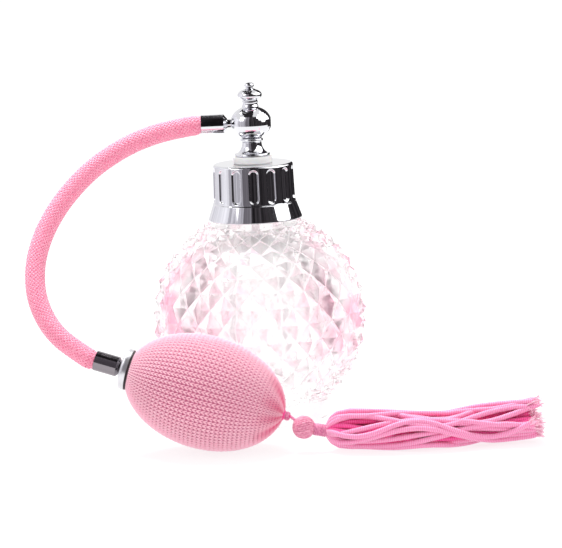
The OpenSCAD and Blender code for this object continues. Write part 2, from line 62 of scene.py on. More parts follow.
COLLAR_S = -BULB_A * math.sqrt(1 - (BULB_MOUTH_R / BULB_B) ** 2)
BULB_X = BULB_COLLAR_X - COLLAR_S * math.cos(BULB_TILT)
REACH = BODY_R + BULB_B - BULB_TUCK


def rest_height(lean):
    """Height of the bulb's middle when it rests on the table, with the hose's plane at that lean."""
    dip = math.sin(BULB_TILT) * math.cos(lean)
    return math.hypot(BULB_A * dip, BULB_B * math.sqrt(1 - dip**2))


def lean_for(height):
    """Lean of the hose's plane that clears the bottle, for a height of the bulb's middle."""
    return math.atan2(REACH, PORT_Z - height)


LEAN = lean_for(rest_height(lean_for(rest_height(lean_for(BULB_B)))))
BULB_DROP = (PORT_Z - rest_height(LEAN)) / math.cos(LEAN)


def leaning(x, across, down):
    """A point in the hose's leaning plane, or at a distance across it, as a point in the row frame."""
    c, s = math.cos(LEAN), math.sin(LEAN)
    return np.array([x, across * c - down * s, PORT_Z - across * s - down * c])


def along_bulb(s):
    """The place s along the bulb's axis, in the leaning plane: x, and the distance down from the head."""
    return BULB_X + s * math.cos(BULB_TILT), BULB_DROP + s * math.sin(BULB_TILT)


def on_bulb(s, radius=0.0, turn=0.0):
    """A point s along the bulb's axis from its middle and radius out from it. Turn 0 is the upper side."""
    x, down = along_bulb(s)
    up = radius * math.cos(turn)
    return leaning(x + up * math.sin(BULB_TILT), radius * math.sin(turn), down - up * math.cos(BULB_TILT))


CLAMP_T, COLLAR_L, FERRULE_GAP, FERRULE_L = 0.7, 2.4, 0.4, 9.2
FERRULE_S = COLLAR_S - CLAMP_T - COLLAR_L - FERRULE_GAP
MOUTH_S = FERRULE_S - FERRULE_L
HOSE_R, SQUEEZE, HOSE_END_GAP, HOSE_LEAD = 3.45, 0.5, 1.6, 2.4

# The hose's line, as in the part's source: x, and the distance down from the head
HOSE_LINE = [(-19.4, 0.2), (-22.5, 0.6), (-27, 1.4), (-31.5, 2.4), (-36, 3.8), (-40.5, 5.6),
             (-45, 7.9), (-49.5, 10.7), (-54, 14), (-58.3, 17.9), (-62.3, 22.3), (-66, 27.1),
             (-69.2, 32.2), (-71.9, 37.6), (-73.9, 43.2), (-75.2, 49), (-75.6, 55), (-75.1, 61),
             (-73.5, 66.8), (-70.9, 72.2), (-67.4, 76.9), (-63.2, 80.7)]
HOSE_LINE_DROP = 85.6   # the drop to the lower ferrule's mouth that these points were chosen for


# --- Camera

def aim_camera():
    """A long lens from the front and a little above, turned slightly so that the bottle leans to the left."""
    yaw, dip, roll = math.radians(0.463), math.radians(9.189), math.radians(2.6)
    ahead = Vector((math.sin(yaw) * math.cos(dip), math.cos(yaw) * math.cos(dip), -math.sin(dip)))
    level = Vector((math.cos(yaw), -math.sin(yaw), 0))
    upright = level.cross(ahead)
    right = level * math.cos(roll) - upright * math.sin(roll)
    up = level * math.sin(roll) + upright * math.cos(roll)
    camera = bpy.data.objects.new("camera", bpy.data.cameras.new("camera"))
    camera.data.lens = 185.5
    camera.data.sensor_width = 36
    camera.data.clip_start = 0.01
    camera.matrix_world = Matrix((
        (right.x, up.x, -ahead.x, 0), (right.y, up.y, -ahead.y, -1.0), (right.z, up.z, -ahead.z, 0.212),
        (0, 0, 0, 1)))
    bpy.context.scene.collection.objects.link(camera)
    bpy.context.scene.camera = camera


aim_camera()


# --- Small tools

def linear(colour):
    """A colour written as sRGB hex, as linear red, green, blue and alpha."""
    parts = [int(colour[i:i + 2], 16) / 255 for i in (1, 3, 5)]
    return tuple(c / 12.92 if c <= 0.04045 else ((c + 0.055) / 1.055) ** 2.4 for c in parts) + (1.0,)


def fed_by(value):
    """The output that feeds a socket, where a node stands for its first one. A constant stays as it is."""
    return value.outputs[0] if isinstance(value, bpy.types.Node) else value


def node(tree, kind, inputs=None, **settings):
    """Adds a node. Inputs maps a socket's name or number to a value, or to what feeds it."""
    made = tree.nodes.new(kind)
    for name, value in settings.items():
        setattr(made, name, value)
    for socket, value in (inputs or {}).items():
        value = fed_by(value)
        if isinstance(value, bpy.types.NodeSocket):
            tree.links.new(value, made.inputs[socket])
        else:
            made.inputs[socket].default_value = value
    return made


def finish_of(name, shader, build=None, *values):
    """A material. Shader holds the constants of its surface, and build adds what varies, with its values."""
    made = bpy.data.materials.new(name)
    made.use_nodes = True
    tree = made.node_tree
    tree.nodes.clear()
    surface = node(tree, "ShaderNodeBsdfPrincipled", shader)
    node(tree, "ShaderNodeOutputMaterial", {"Surface": surface.outputs["BSDF"]})
    if build:
        build(tree, surface, *values)
    return made


def mesh_object(name, points, faces, smooth=False, unit=MM):
    """A mesh in the scene, from points in millimetres."""
    mesh = bpy.data.meshes.new(name)
    mesh.from_pydata([tuple(c * unit for c in p) for p in points], [], [tuple(f) for f in faces])
    mesh.polygons.foreach_set("use_smooth", [smooth] * len(mesh.polygons))
    made = bpy.data.objects.new(name, mesh)
    bpy.context.scene.collection.objects.link(made)
    return made


def place(name, points, faces, body, material, stands_for=()):
    """A piece of the object: points in millimetres in the row frame, riding on a body."""
    made = mesh_object(name, points, faces, smooth=True)
    made.data.materials.append(material)
    return settle(made, body, stands_for)


def settle(made, body, stands_for=()):
    """Lets a piece ride on a body, in place of the named nodes of the part."""
    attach(made, body)
    if stands_for:
        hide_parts(*stands_for)
    return made


def as_mesh(source, name):
    """The evaluated shape of an object as a plain mesh object of its own. The source is taken away."""
    bpy.context.view_layer.update()
    graph = bpy.context.evaluated_depsgraph_get()
    mesh = bpy.data.meshes.new_from_object(source.evaluated_get(graph))
    bpy.data.objects.remove(source)
    mesh.name = name
    made = bpy.data.objects.new(name, mesh)
    bpy.context.scene.collection.objects.link(made)
    return made


def grown(tree, name, seed_object, sizes=None):
    """Runs a Geometry Nodes tree on an object, with its named inputs set, and returns the plain mesh."""
    modifier = seed_object.modifiers.new(name, "NODES")
    modifier.node_group = tree
    for item in tree.interface.items_tree:
        if item.item_type == "SOCKET" and item.in_out == "INPUT" and sizes and item.name in sizes:
            modifier[item.identifier] = sizes[item.name]
    return as_mesh(seed_object, name)


def new_tree(name, inputs):
    """A Geometry Nodes tree with its inputs, and its group input and output nodes."""
    tree = bpy.data.node_groups.new(name, "GeometryNodeTree")
    tree.interface.new_socket("Geometry", in_out="INPUT", socket_type="NodeSocketGeometry")
    for label, (kind, value) in inputs.items():
        socket = tree.interface.new_socket(label, in_out="INPUT", socket_type=kind)
        if value is not None:
            socket.default_value = value
    tree.interface.new_socket("Geometry", in_out="OUTPUT", socket_type="NodeSocketGeometry")
    return tree, node(tree, "NodeGroupInput").outputs


def close_tree(tree, shape, material, smooth=True):
    """Ends a tree: its shape as one mesh with a material."""
    solid = node(tree, "GeometryNodeRealizeInstances", {0: shape})
    shown = node(tree, "GeometryNodeSetMaterial", {"Geometry": solid, "Material": material})
    shaded = node(tree, "GeometryNodeSetShadeSmooth", {0: shown, "Shade Smooth": smooth})
    node(tree, "NodeGroupOutput", {0: shaded})
    return tree


def maths(operation, *values):
    """A sum in the tree of the sockets it works on."""
    values = [fed_by(v) for v in values]
    tree = next(v.id_data for v in values if isinstance(v, bpy.types.NodeSocket))
    return node(tree, "ShaderNodeMath", dict(enumerate(values)), operation=operation).outputs[0]


def vectors(operation, *values):
    """A vector sum in the tree of the sockets it works on."""
    values = [fed_by(v) for v in values]
    tree = next(v.id_data for v in values if isinstance(v, bpy.types.NodeSocket))
    made = node(tree, "ShaderNodeVectorMath", operation=operation)
    sockets = [s for s in made.inputs if s.enabled]
    for socket, value in zip(sockets, values):
        if isinstance(value, bpy.types.NodeSocket):
            tree.links.new(value, socket)
        else:
            socket.default_value = value
    return made.outputs["Value" if operation in ("LENGTH", "DOT_PRODUCT") else 0]


def lines_of(paths):
    """A curve object with an open spline for each path. A fourth number is a point's share of the radius."""
    curve = bpy.data.curves.new("lines", "CURVE")
    curve.dimensions = "3D"
    for path in paths:
        spline = curve.splines.new("POLY")
        spline.points.add(len(path) - 1)
        spline.points.foreach_set("co", [v for p in path for v in (p[0] * MM, p[1] * MM, p[2] * MM, 1.0)])
        spline.points.foreach_set("radius", [float(p[3]) if len(p) > 3 else 1.0 for p in path])
    made = bpy.data.objects.new("lines", curve)
    bpy.context.scene.collection.objects.link(made)
    return made


def smooth_line(points, step):
    """A smooth curve through points, cut into even steps."""
    p = np.asarray(points, float)
    p = np.vstack([2 * p[0] - p[1], p, 2 * p[-1] - p[-2]])
    fine = []
    for a, b, c, d in zip(p, p[1:], p[2:], p[3:]):
        for t in np.arange(12) / 12:
            fine.append(0.5 * (2 * b + (c - a) * t + (2 * a - 5 * b + 4 * c - d) * t**2
                               + (3 * b - a - 3 * c + d) * t**3))
    fine = np.array(fine + [p[-2]])
    along = np.concatenate([[0], np.cumsum(np.linalg.norm(np.diff(fine, axis=0), axis=1))])
    at = np.linspace(0, along[-1], int(along[-1] / step) + 1)
    return np.stack([np.interp(at, along, fine[:, k]) for k in range(fine.shape[1])], axis=1)


# --- Finishes

def two_tone(tree, surface, share, dark, light, strength=0.0, depth=0.0):
    """Shades a surface between two colours by share, and lets a fine relief follow the same share."""
    colour = node(tree, "ShaderNodeMix", {"Factor": share, "A": linear(dark), "B": linear(light)},
                  data_type="RGBA")
    tree.links.new(colour.outputs["Result"], surface.inputs["Base Color"])
    if depth:
        relief = node(tree, "ShaderNodeBump", {"Height": share, "Strength": strength, "Distance": depth * MM})
        tree.links.new(relief.outputs["Normal"], surface.inputs["Normal"])


def crystal_painted_rose(tree, surface):
    """Pressed and fire-polished glass, with a painted rose reflection that gathers in patches towards the
    sides.
    """
    where = node(tree, "ShaderNodeTexCoord").outputs["Object"]
    patch = node(tree, "ShaderNodeTexNoise", {"Vector": where, "Scale": 95.0, "Detail": 1.0})
    side = maths("ABSOLUTE", node(tree, "ShaderNodeSeparateXYZ", {0: where}).outputs["X"])
    depth = node(tree, "ShaderNodeMapRange", {"Value": side, "From Min": 0.012, "From Max": 0.03,
                                              "To Min": 0.02})
    spots = node(tree, "ShaderNodeMapRange", {"Value": patch, "From Min": 0.42,
                                              "From Max": 0.62})
    # Painted reflection: the rose grows towards the sides and in noise patches.
    rose_reflection = maths("MULTIPLY", depth, spots)
    two_tone(tree, surface, rose_reflection, "#FFFEFE", "#F6AFC8")


def edge_painted_highlight(tree, surface):
    """The edges are fire-polished; their near-white colour is a painted highlight, a little uneven along
    their length.
    """
    where = node(tree, "ShaderNodeTexCoord").outputs["Object"]
    wander = node(tree, "ShaderNodeTexNoise", {"Vector": where, "Scale": 220.0, "Detail": 2.0})
    # Painted highlight: the edge colour is nearly white.
    two_tone(tree, surface, wander, "#FFF6F9", "#FFFFFF")


def skin_marks(tree, surface, scale, low, high, bump=0.0):
    """Fine wipe marks in a polish: the roughness wanders between two values."""
    where = node(tree, "ShaderNodeTexCoord").outputs["Object"]
    haze = node(tree, "ShaderNodeTexNoise", {"Vector": where, "Scale": scale, "Detail": 4.0,
                                             "Roughness": 0.6})
    rough = node(tree, "ShaderNodeMapRange", {"Value": haze, "From Min": 0.35, "From Max": 0.7,
                                              "To Min": low, "To Max": high})
    tree.links.new(rough.outputs["Result"], surface.inputs["Roughness"])
    if bump:
        relief = node(tree, "ShaderNodeBump", {"Height": haze, "Strength": bump,
                                               "Distance": 0.1 * MM})
        tree.links.new(relief.outputs["Normal"], surface.inputs["Normal"])


def yarn(tree, surface, dark, light, scale):
    """Spun thread: fine streaks between two shades, and a slight fuzz in the relief."""
    where = node(tree, "ShaderNodeTexCoord").outputs["Object"]
    streak = node(tree, "ShaderNodeTexNoise", {"Vector": where, "Scale": scale, "Detail": 3.0,
                                               "Roughness": 0.55})
    spread = node(tree, "ShaderNodeMapRange", {"Value": streak, "From Min": 0.3,
                                               "From Max": 0.7})
    two_tone(tree, surface, spread, dark, light)
    relief = node(tree, "ShaderNodeBump", {"Height": streak, "Strength": 0.25,
                                           "Distance": 0.1 * MM})
    tree.links.new(relief.outputs["Normal"], surface.inputs["Normal"])


def twisted(tree, surface, dark, light, pitch):
    """Two plies wound round each other: slanting ribs, from the cord's own along and around attributes, with
    painted shade in the grooves between the plies.
    """
    along = node(tree, "ShaderNodeAttribute", attribute_name="along").outputs["Fac"]
    around = node(tree, "ShaderNodeAttribute", attribute_name="around").outputs["Vector"]
    ring = node(tree, "ShaderNodeSeparateXYZ", {0: around}).outputs
    angle = maths("MULTIPLY", along, 2 * math.pi / pitch)
    wave = maths("ADD", maths("MULTIPLY", maths("SINE", angle), ring["X"]),
                 maths("MULTIPLY", maths("COSINE", angle), ring["Y"]))
    rib_and_groove_shade = node(tree, "ShaderNodeMapRange", {"Value": wave, "From Min": -0.9, "From Max": 0.5})
    # Painted shade: the colour darkens in the grooves between the plies.
    two_tone(tree, surface, rib_and_groove_shade, dark, light, 0.6, 0.2)


def gathered_with_fold_shade(tree, surface, dark, light, scale, dense_and_fold_shade):
    """Yarn that turns a darker pink by a stored attribute: where the net is pulled together, and most in the
    folds of its pleats, where the darkening is painted shade.
    """
    yarn(tree, surface, dark, light, scale)
    base = surface.inputs["Base Color"].links[0].from_socket
    dense_and_fold_share = node(tree, "ShaderNodeAttribute", attribute_name="gather").outputs["Fac"]
    colour = node(tree, "ShaderNodeMix", {"Factor": dense_and_fold_share, "A": base, "B": linear(dense_and_fold_shade)}, data_type="RGBA")
    tree.links.new(colour.outputs["Result"], surface.inputs["Base Color"])


# Lead-free crystal, pressed and fire-polished: bright, with a milky glow and a painted rose reflection at the
# sides.
CRYSTAL = finish_of("crystal_glass", {"Transmission Weight": 0.88, "IOR": 1.5, "Roughness": 0.0},
                    crystal_painted_rose)
# The rounded edges between the facets, with a painted highlight: near-white colour and a faint glow, as white
# lines.
CUT_EDGE = finish_of("cut_edges_painted_glow", {"Transmission Weight": 0.2, "IOR": 1.5, "Roughness": 0.12,
                                   "Emission Color": linear("#FFFFFF"), "Emission Strength": 0.12},
                     edge_painted_highlight)
# The wall inside, as the blow left it: a little wavy, so what is seen through the bottle is softened. It has
# the same painted rose reflection.
BLOWN = finish_of("blown_inside", {"Transmission Weight": 0.92, "IOR": 1.5, "Roughness": 0.2}, crystal_painted_rose)
# Zinc die casting, polished and chrome-plated: mirror-bright, with faint wipe marks.
CHROME = finish_of("chrome_plate", {"Metallic": 1.0, "Base Color": linear("#DCDCE0")},
                   skin_marks, 90.0, 0.03, 0.08)
# The same plate over a darker nickel, as on the lower ferrule: a smoky mirror.
BLACK_NICKEL = finish_of("black_nickel", {"Metallic": 1.0, "Base Color": linear("#8A8489")},
                         skin_marks, 120.0, 0.08, 0.16)
# Turned aluminium with a satin lacquer, on the bulb's collar: soft grey sheen.
SATIN = finish_of("satin_aluminium", {"Metallic": 1.0, "Base Color": linear("#D9D8DC")},
                  skin_marks, 200.0, 0.28, 0.4, 0.1)
# Moulded polypropylene: milky white, a low soft gloss.
WHITE = finish_of("white_polypropylene", {"Base Color": linear("#F1F0EF"), "IOR": 1.49,
                                          "Subsurface Weight": 0.1, "Subsurface Scale": 0.002},
                  skin_marks, 300.0, 0.38, 0.5, 0.06)
# Extruded polyethylene, almost clear, for the dip tube.
TUBE = finish_of("clear_polyethylene", {"Base Color": linear("#F4F2F4"), "Transmission Weight": 0.9,
                                        "IOR": 1.45},
                 skin_marks, 150.0, 0.12, 0.25)
# The valve's ball, ground bright.
STEEL = finish_of("stainless_steel", {"Metallic": 1.0, "Base Color": linear("#C4C4C8")},
                  skin_marks, 350.0, 0.12, 0.25)
# Turned brass inside the head: a warm and duller metal.
BRASS = finish_of("turned_brass", {"Metallic": 1.0, "Base Color": linear("#C9A65A")},
                  skin_marks, 400.0, 0.2, 0.35)
# Moulded rubber of the intake flap: matt and nearly black, with a fine grain.
DARK_RUBBER = finish_of("dark_rubber", {"Base Color": linear("#2B292A"), "IOR": 1.52},
                        skin_marks, 250.0, 0.6, 0.75, 0.1)
# Nylon braid: each yarn has a soft sheen towards its edges, so the sleeve looks silky.
BRAID = finish_of("nylon_braid", {"Roughness": 0.42, "IOR": 1.53, "Sheen Weight": 0.9,
                                  "Sheen Roughness": 0.4},
                  yarn, "#EE7298", "#FAA6BE", 1800.0)
# The darker yarn underneath, which shows between the crossings.
BRAID_CORE = finish_of("braid_core", {"Roughness": 0.6, "IOR": 1.5},
                       yarn, "#E2658C", "#EA7C9E", 900.0)
# Stretched nylon net: pale and silky, deeper where the tail is pulled together, with painted shade in the
# folds of its pleats.
KNIT = finish_of("nylon_knit", {"Roughness": 0.5, "IOR": 1.53, "Sheen Weight": 1.0, "Sheen Roughness": 0.45},
                 gathered_with_fold_shade, "#F8A8C1", "#FFCDDC", 1600.0, "#E8487F")
# The matt rubber and the net's inner side, which fill the holes with a deeper pink: partly their own colour,
# partly painted shade in the holes.
KNIT_CORE = finish_of("knit_backing", {"Roughness": 0.65, "IOR": 1.5, "Sheen Weight": 0.2},
                      yarn, "#C9567F", "#D66F94", 700.0)
# Viscose cord, two plies twisted hard: silky, with a painted dark shade between the plies.
CORD = finish_of("viscose_cord", {"Roughness": 0.5, "IOR": 1.5, "Sheen Weight": 0.7, "Sheen Roughness": 0.35},
                 twisted, "#F478AF", "#FBA9CE", 0.00062)
# The same cord inside the bundle, painted the hot pink that the light turns to in there: a shaded copy of the
# cord.
INNER_CORD_PAINTED_SHADE = finish_of("viscose_cord_inside_painted_shade", {"Roughness": 0.55, "IOR": 1.5, "Sheen Weight": 0.4,
                                              "Sheen Roughness": 0.35},
                      twisted, "#F02F88", "#FB62A8", 0.00062)
# Sewing thread wound tight, in fine streaks of pale pink and a painted dark rosy shade.
THREAD = finish_of("wound_thread", {"Roughness": 0.55, "IOR": 1.5, "Sheen Weight": 0.4,
                                    "Sheen Roughness": 0.4},
                   yarn, "#C24C84", "#F2A0C0", 1500.0)
# The paler, silkier thread of the tassel's round head, in streaks of pale pink and a painted rosy shade.
WOUND = finish_of("wound_ball_thread", {"Roughness": 0.5, "IOR": 1.5, "Sheen Weight": 0.6,
                                        "Sheen Roughness": 0.4},
                  yarn, "#D9608F", "#F9B4CB", 1500.0)
# Loose viscose fibres at the cut ends: pale and fine, with a soft edge.
FRAY = finish_of("frayed_fibres", {"Roughness": 0.5, "IOR": 1.5, "Sheen Weight": 0.6},
                 yarn, "#FBA6C8", "#FFD0E2", 900.0)
# Woven polyester band, nearly black.
BAND = finish_of("woven_band", {"Roughness": 0.7, "IOR": 1.5, "Sheen Weight": 0.2},
                 yarn, "#1C1518", "#3A2C31", 1500.0)


# --- Hose

def hose_route():
    """The hose's line from inside the upper ferrule to inside the lower one, in even steps."""
    scale = along_bulb(MOUTH_S)[1] / HOSE_LINE_DROP
    head_end = [(-(BALL_R + NECK_GAP + s), 0) for s in (HOSE_END_GAP, FERRULE_L)]
    bulb_end = [along_bulb(s) for s in (MOUTH_S - HOSE_LEAD, MOUTH_S, FERRULE_S - HOSE_END_GAP)]
    flat = head_end + [(x, q * scale) for x, q in HOSE_LINE] + bulb_end
    return smooth_line([leaning(x, 0, q) for x, q in flat], 0.4)


def grain(name, length, width, height):
    """A short rounded bead of yarn that lies along X and rises along Z, in sixteen faces."""
    rings, sides = 5, 5
    points, faces = [], []
    for i in range(rings):
        u = -1 + 2 * i / (rings - 1)
        full = math.sqrt(max(0.0, 1 - (0.94 * u) ** 2))
        for j in range(sides):
            t = math.radians(-20 + 220 * j / (sides - 1))
            points.append((u * length / 2, math.cos(t) * width / 2 * full, math.sin(t) * full * height))
    for i in range(rings - 1):
        for j in range(sides - 1):
            a = i * sides + j
            faces.append((a, a + 1, a + sides + 1, a + sides))
    return mesh_object(name, points, faces, smooth=True)


# Sixteen yarns each way, at 42 degrees, cross every 0.68 mm along the hose, and lie in its outer 0.38 mm.
YARNS, YARN_STEP, YARN_SLANT, YARN_BED = 16, 0.68, math.radians(42), 0.38
GRIPPED, FERRULE_EASE = 7.8, 2.2


def braid_tree(seed_material, core_material):
    """Yarn crossings in staggered rings round a curve, over a plain core. Every other ring slants back."""
    tree, given = new_tree("braid", {
        "Crossing": ("NodeSocketObject", None), "Radius": ("NodeSocketFloat", 0.0033),
        "Around": ("NodeSocketInt", 16), "Rings": ("NodeSocketInt", 200), "Slant": ("NodeSocketFloat", 0.8),
        "Squeeze": ("NodeSocketFloat", 0.0005), "Gripped": ("NodeSocketFloat", 0.0076)})
    line, radius, around, rings = given["Geometry"], given["Radius"], given["Around"], given["Rings"]
    spots = node(tree, "GeometryNodePoints", {"Count": maths("MULTIPLY", around, rings)})
    index = node(tree, "GeometryNodeInputIndex")
    ring = maths("FLOOR", maths("DIVIDE", index, around))
    stagger = maths("MODULO", ring, 2.0)
    step = maths("ADD", maths("MODULO", index, around), maths("MULTIPLY", stagger, 0.5))
    turn = maths("MULTIPLY", maths("DIVIDE", step, around), 2 * math.pi)
    length = node(tree, "GeometryNodeCurveLength", {"Curve": line})
    along = maths("MULTIPLY", maths("DIVIDE", maths("ADD", ring, 0.5), rings), length)
    sample = node(tree, "GeometryNodeSampleCurve", {"Curves": line, "Length": along}, mode="LENGTH")
    position, tangent, normal = (sample.outputs[n] for n in ("Position", "Tangent", "Normal"))
    side = vectors("CROSS_PRODUCT", tangent, normal)
    outward = vectors("ADD", vectors("SCALE", normal, maths("COSINE", turn)),
                      vectors("SCALE", side, maths("SINE", turn)))

    def pressed(place_on):
        """How far a ferrule presses the hose in at a place along it."""
        from_end = maths("MINIMUM", place_on, maths("SUBTRACT", length, place_on))
        free = maths("ADD", given["Gripped"], FERRULE_EASE * MM)
        return node(tree, "ShaderNodeMapRange", {
            "Value": from_end, "From Min": given["Gripped"], "From Max": free, "To Min": given["Squeeze"],
            "To Max": 0.0}, interpolation_type="SMOOTHSTEP").outputs["Result"]

    out = maths("SUBTRACT", radius, pressed(along))
    spot = vectors("ADD", position, vectors("SCALE", outward, out))
    placed = node(tree, "GeometryNodeSetPosition", {"Geometry": spots, "Position": spot})
    facing = node(tree, "FunctionNodeAxesToRotation", {0: outward, 1: tangent}, primary_axis="Z",
                  secondary_axis="X")
    slant = maths("MULTIPLY", given["Slant"], maths("SUBTRACT", maths("MULTIPLY", stagger, 2.0), 1.0))
    spin = node(tree, "FunctionNodeAxisAngleToRotation", {"Axis": (0, 0, 1), "Angle": slant})
    turned = node(tree, "FunctionNodeRotateRotation", {0: facing, 1: spin}, rotation_space="LOCAL")
    bead = node(tree, "GeometryNodeObjectInfo", {"Object": given["Crossing"]})
    beads = node(tree, "GeometryNodeInstanceOnPoints",
                 {"Points": placed, "Instance": bead.outputs["Geometry"], "Rotation": turned})
    solid = node(tree, "GeometryNodeRealizeInstances", {0: beads})
    shown = node(tree, "GeometryNodeSetMaterial", {"Geometry": solid, "Material": seed_material})
    core_along = node(tree, "GeometryNodeSplineParameter").outputs["Length"]
    thin = maths("SUBTRACT", maths("SUBTRACT", radius, 0.1 * MM), pressed(core_along))
    profile = node(tree, "GeometryNodeCurvePrimitiveCircle", {"Resolution": 32, "Radius": 1.0})
    core = node(tree, "GeometryNodeCurveToMesh", {"Curve": line, "Profile Curve": profile,
                                                  "Scale": thin, "Fill Caps": True})
    core_shown = node(tree, "GeometryNodeSetMaterial", {"Geometry": core, "Material": core_material})
    both = node(tree, "GeometryNodeJoinGeometry")
    tree.links.new(core_shown.outputs[0], both.inputs[0])
    tree.links.new(shown.outputs[0], both.inputs[0])
    smooth = node(tree, "GeometryNodeSetShadeSmooth", {0: both})
    node(tree, "NodeGroupOutput", {0: smooth})
    return tree


def make_hose():
    """The braided sleeve over the hose, pressed in where a ferrule grips each end."""
    route = hose_route()
    length = float(np.linalg.norm(np.diff(route, axis=0), axis=1).sum())
    crossing = grain("crossing", 1.75, 0.95, 0.42)
    made = grown(braid_tree(BRAID, BRAID_CORE), "hose_braid_sleeve", lines_of([route]), {
        "Crossing": crossing, "Radius": (HOSE_R - YARN_BED) * MM, "Around": YARNS,
        "Rings": int(length / YARN_STEP), "Slant": YARN_SLANT, "Squeeze": SQUEEZE * MM,
        "Gripped": GRIPPED * MM})
    bpy.data.objects.remove(crossing)
    settle(made, "sprayer", ("hose_braid", "hose_tube"))
    # The polished metal stays free of the hose's reflection.
    made.visible_glossy = False


make_hose()


# --- Glass

def cut_glass_tree():
    """A ball of four-sided pyramids: a tube of squares whose corners move out to tips or in to valleys."""
    tree, given = new_tree("cut_glass", {
        "Cuts": ("NodeSocketInt", CUTS), "Low row": ("NodeSocketInt", LOW_ROW),
        "Rows": ("NodeSocketInt", HIGH_ROW - LOW_ROW),
        "Tip radius": ("NodeSocketFloat", BODY_R * MM), "Depth": ("NodeSocketFloat", CUT_DEPTH * MM),
        "Middle": ("NodeSocketFloat", BODY_Z * MM), "Row step": ("NodeSocketFloat", ROW_STEP),
        "Row shift": ("NodeSocketFloat", ROW_SHIFT), "Turn": ("NodeSocketFloat", TURN_START - 90)})
    columns = maths("MULTIPLY", given["Cuts"], 2.0)
    rows = given["Rows"]
    tube = node(tree, "GeometryNodeMeshCylinder",
                {"Vertices": columns, "Side Segments": rows, "Radius": 1.0, "Depth": rows},
                fill_type="NGON")
    at = node(tree, "ShaderNodeSeparateXYZ", {0: node(tree, "GeometryNodeInputPosition")}).outputs
    row = maths("ADD", maths("ROUND", maths("ADD", at["Z"], maths("DIVIDE", rows, 2.0))),
                given["Low row"])
    angle = maths("ARCTAN2", at["Y"], at["X"])
    column = maths("ROUND", maths("MULTIPLY", maths("DIVIDE", angle, 2 * math.pi), columns))
    odd = maths("FLOORED_MODULO", maths("ADD", row, column), 2.0)
    above = maths("GREATER_THAN", row, maths("ADD", given["Low row"], 0.5))
    below = maths("LESS_THAN", row, maths("SUBTRACT", maths("ADD", given["Low row"], rows), 0.5))
    tip = maths("MULTIPLY", maths("MULTIPLY", odd, above), below)
    radius = maths("SUBTRACT", given["Tip radius"], maths("MULTIPLY", given["Depth"],
                                                          maths("SUBTRACT", 1.0, tip)))
    stretch = maths("RADIANS", maths("ADD", given["Row shift"], maths("MULTIPLY", row, given["Row step"])))
    latitude = maths("SUBTRACT", maths("MULTIPLY", maths("ARCTANGENT", maths("EXPONENT", stretch)), 2.0),
                     math.pi / 2)
    turn = maths("RADIANS", maths("ADD", given["Turn"],
                                  maths("DIVIDE", maths("MULTIPLY", column, 360.0), columns)))
    out = maths("MULTIPLY", radius, maths("COSINE", latitude))
    spot = node(tree, "ShaderNodeCombineXYZ", {
        "X": maths("MULTIPLY", out, maths("COSINE", turn)),
        "Y": maths("MULTIPLY", out, maths("SINE", turn)),
        "Z": maths("ADD", given["Middle"], maths("MULTIPLY", radius, maths("SINE", latitude)))})
    moved = node(tree, "GeometryNodeSetPosition", {"Geometry": tube.outputs["Mesh"], "Position": spot})
    # The short diagonal of each square joins two valleys, so every square becomes halves of two pyramids.
    facets = node(tree, "GeometryNodeTriangulate", {0: moved}, quad_method="SHORTEST_DIAGONAL")
    return close_tree(tree, facets, CRYSTAL, smooth=False)


def turned(profile, sides=128, closed=True):
    """The points and faces of a profile of (radius, height) turned about Z. Radius 0 makes a pole."""
    points, faces, rows = [], [], []
    for r, z in profile:
        if r < 1e-6:
            rows.append([len(points)] * sides)
            points.append((0, 0, z))
        else:
            rows.append(list(range(len(points), len(points) + sides)))
            points += [(r * math.cos(a), r * math.sin(a), z) for a in np.arange(sides) * 2 * math.pi / sides]
    pairs = list(zip(rows, rows[1:])) + ([(rows[-1], rows[0])] if closed else [])
    for low, high in pairs:
        for j in range(sides):
            k = (j + 1) % sides
            face = [low[j], low[k], high[k], high[j]]
            face = [v for i, v in enumerate(face) if v not in face[:i]]
            if len(face) > 2:
                faces.append(face)
    return points, faces


def arc(x, z, r, start, end, steps):
    """Points of an arc about (x, z), from one angle in degrees to another."""
    turns = np.linspace(start, end, steps)
    return [(x + r * math.cos(math.radians(a)), z + r * math.sin(math.radians(a))) for a in turns]


# The edges between facets are rounded this far, and the ridges up to the tips by this share of it.
EDGE_ROUND, RIDGE_SHARE = 0.55, 0.3
GLASS_INSIDE = 2   # the place of the inner wall's finish among the bottle's materials


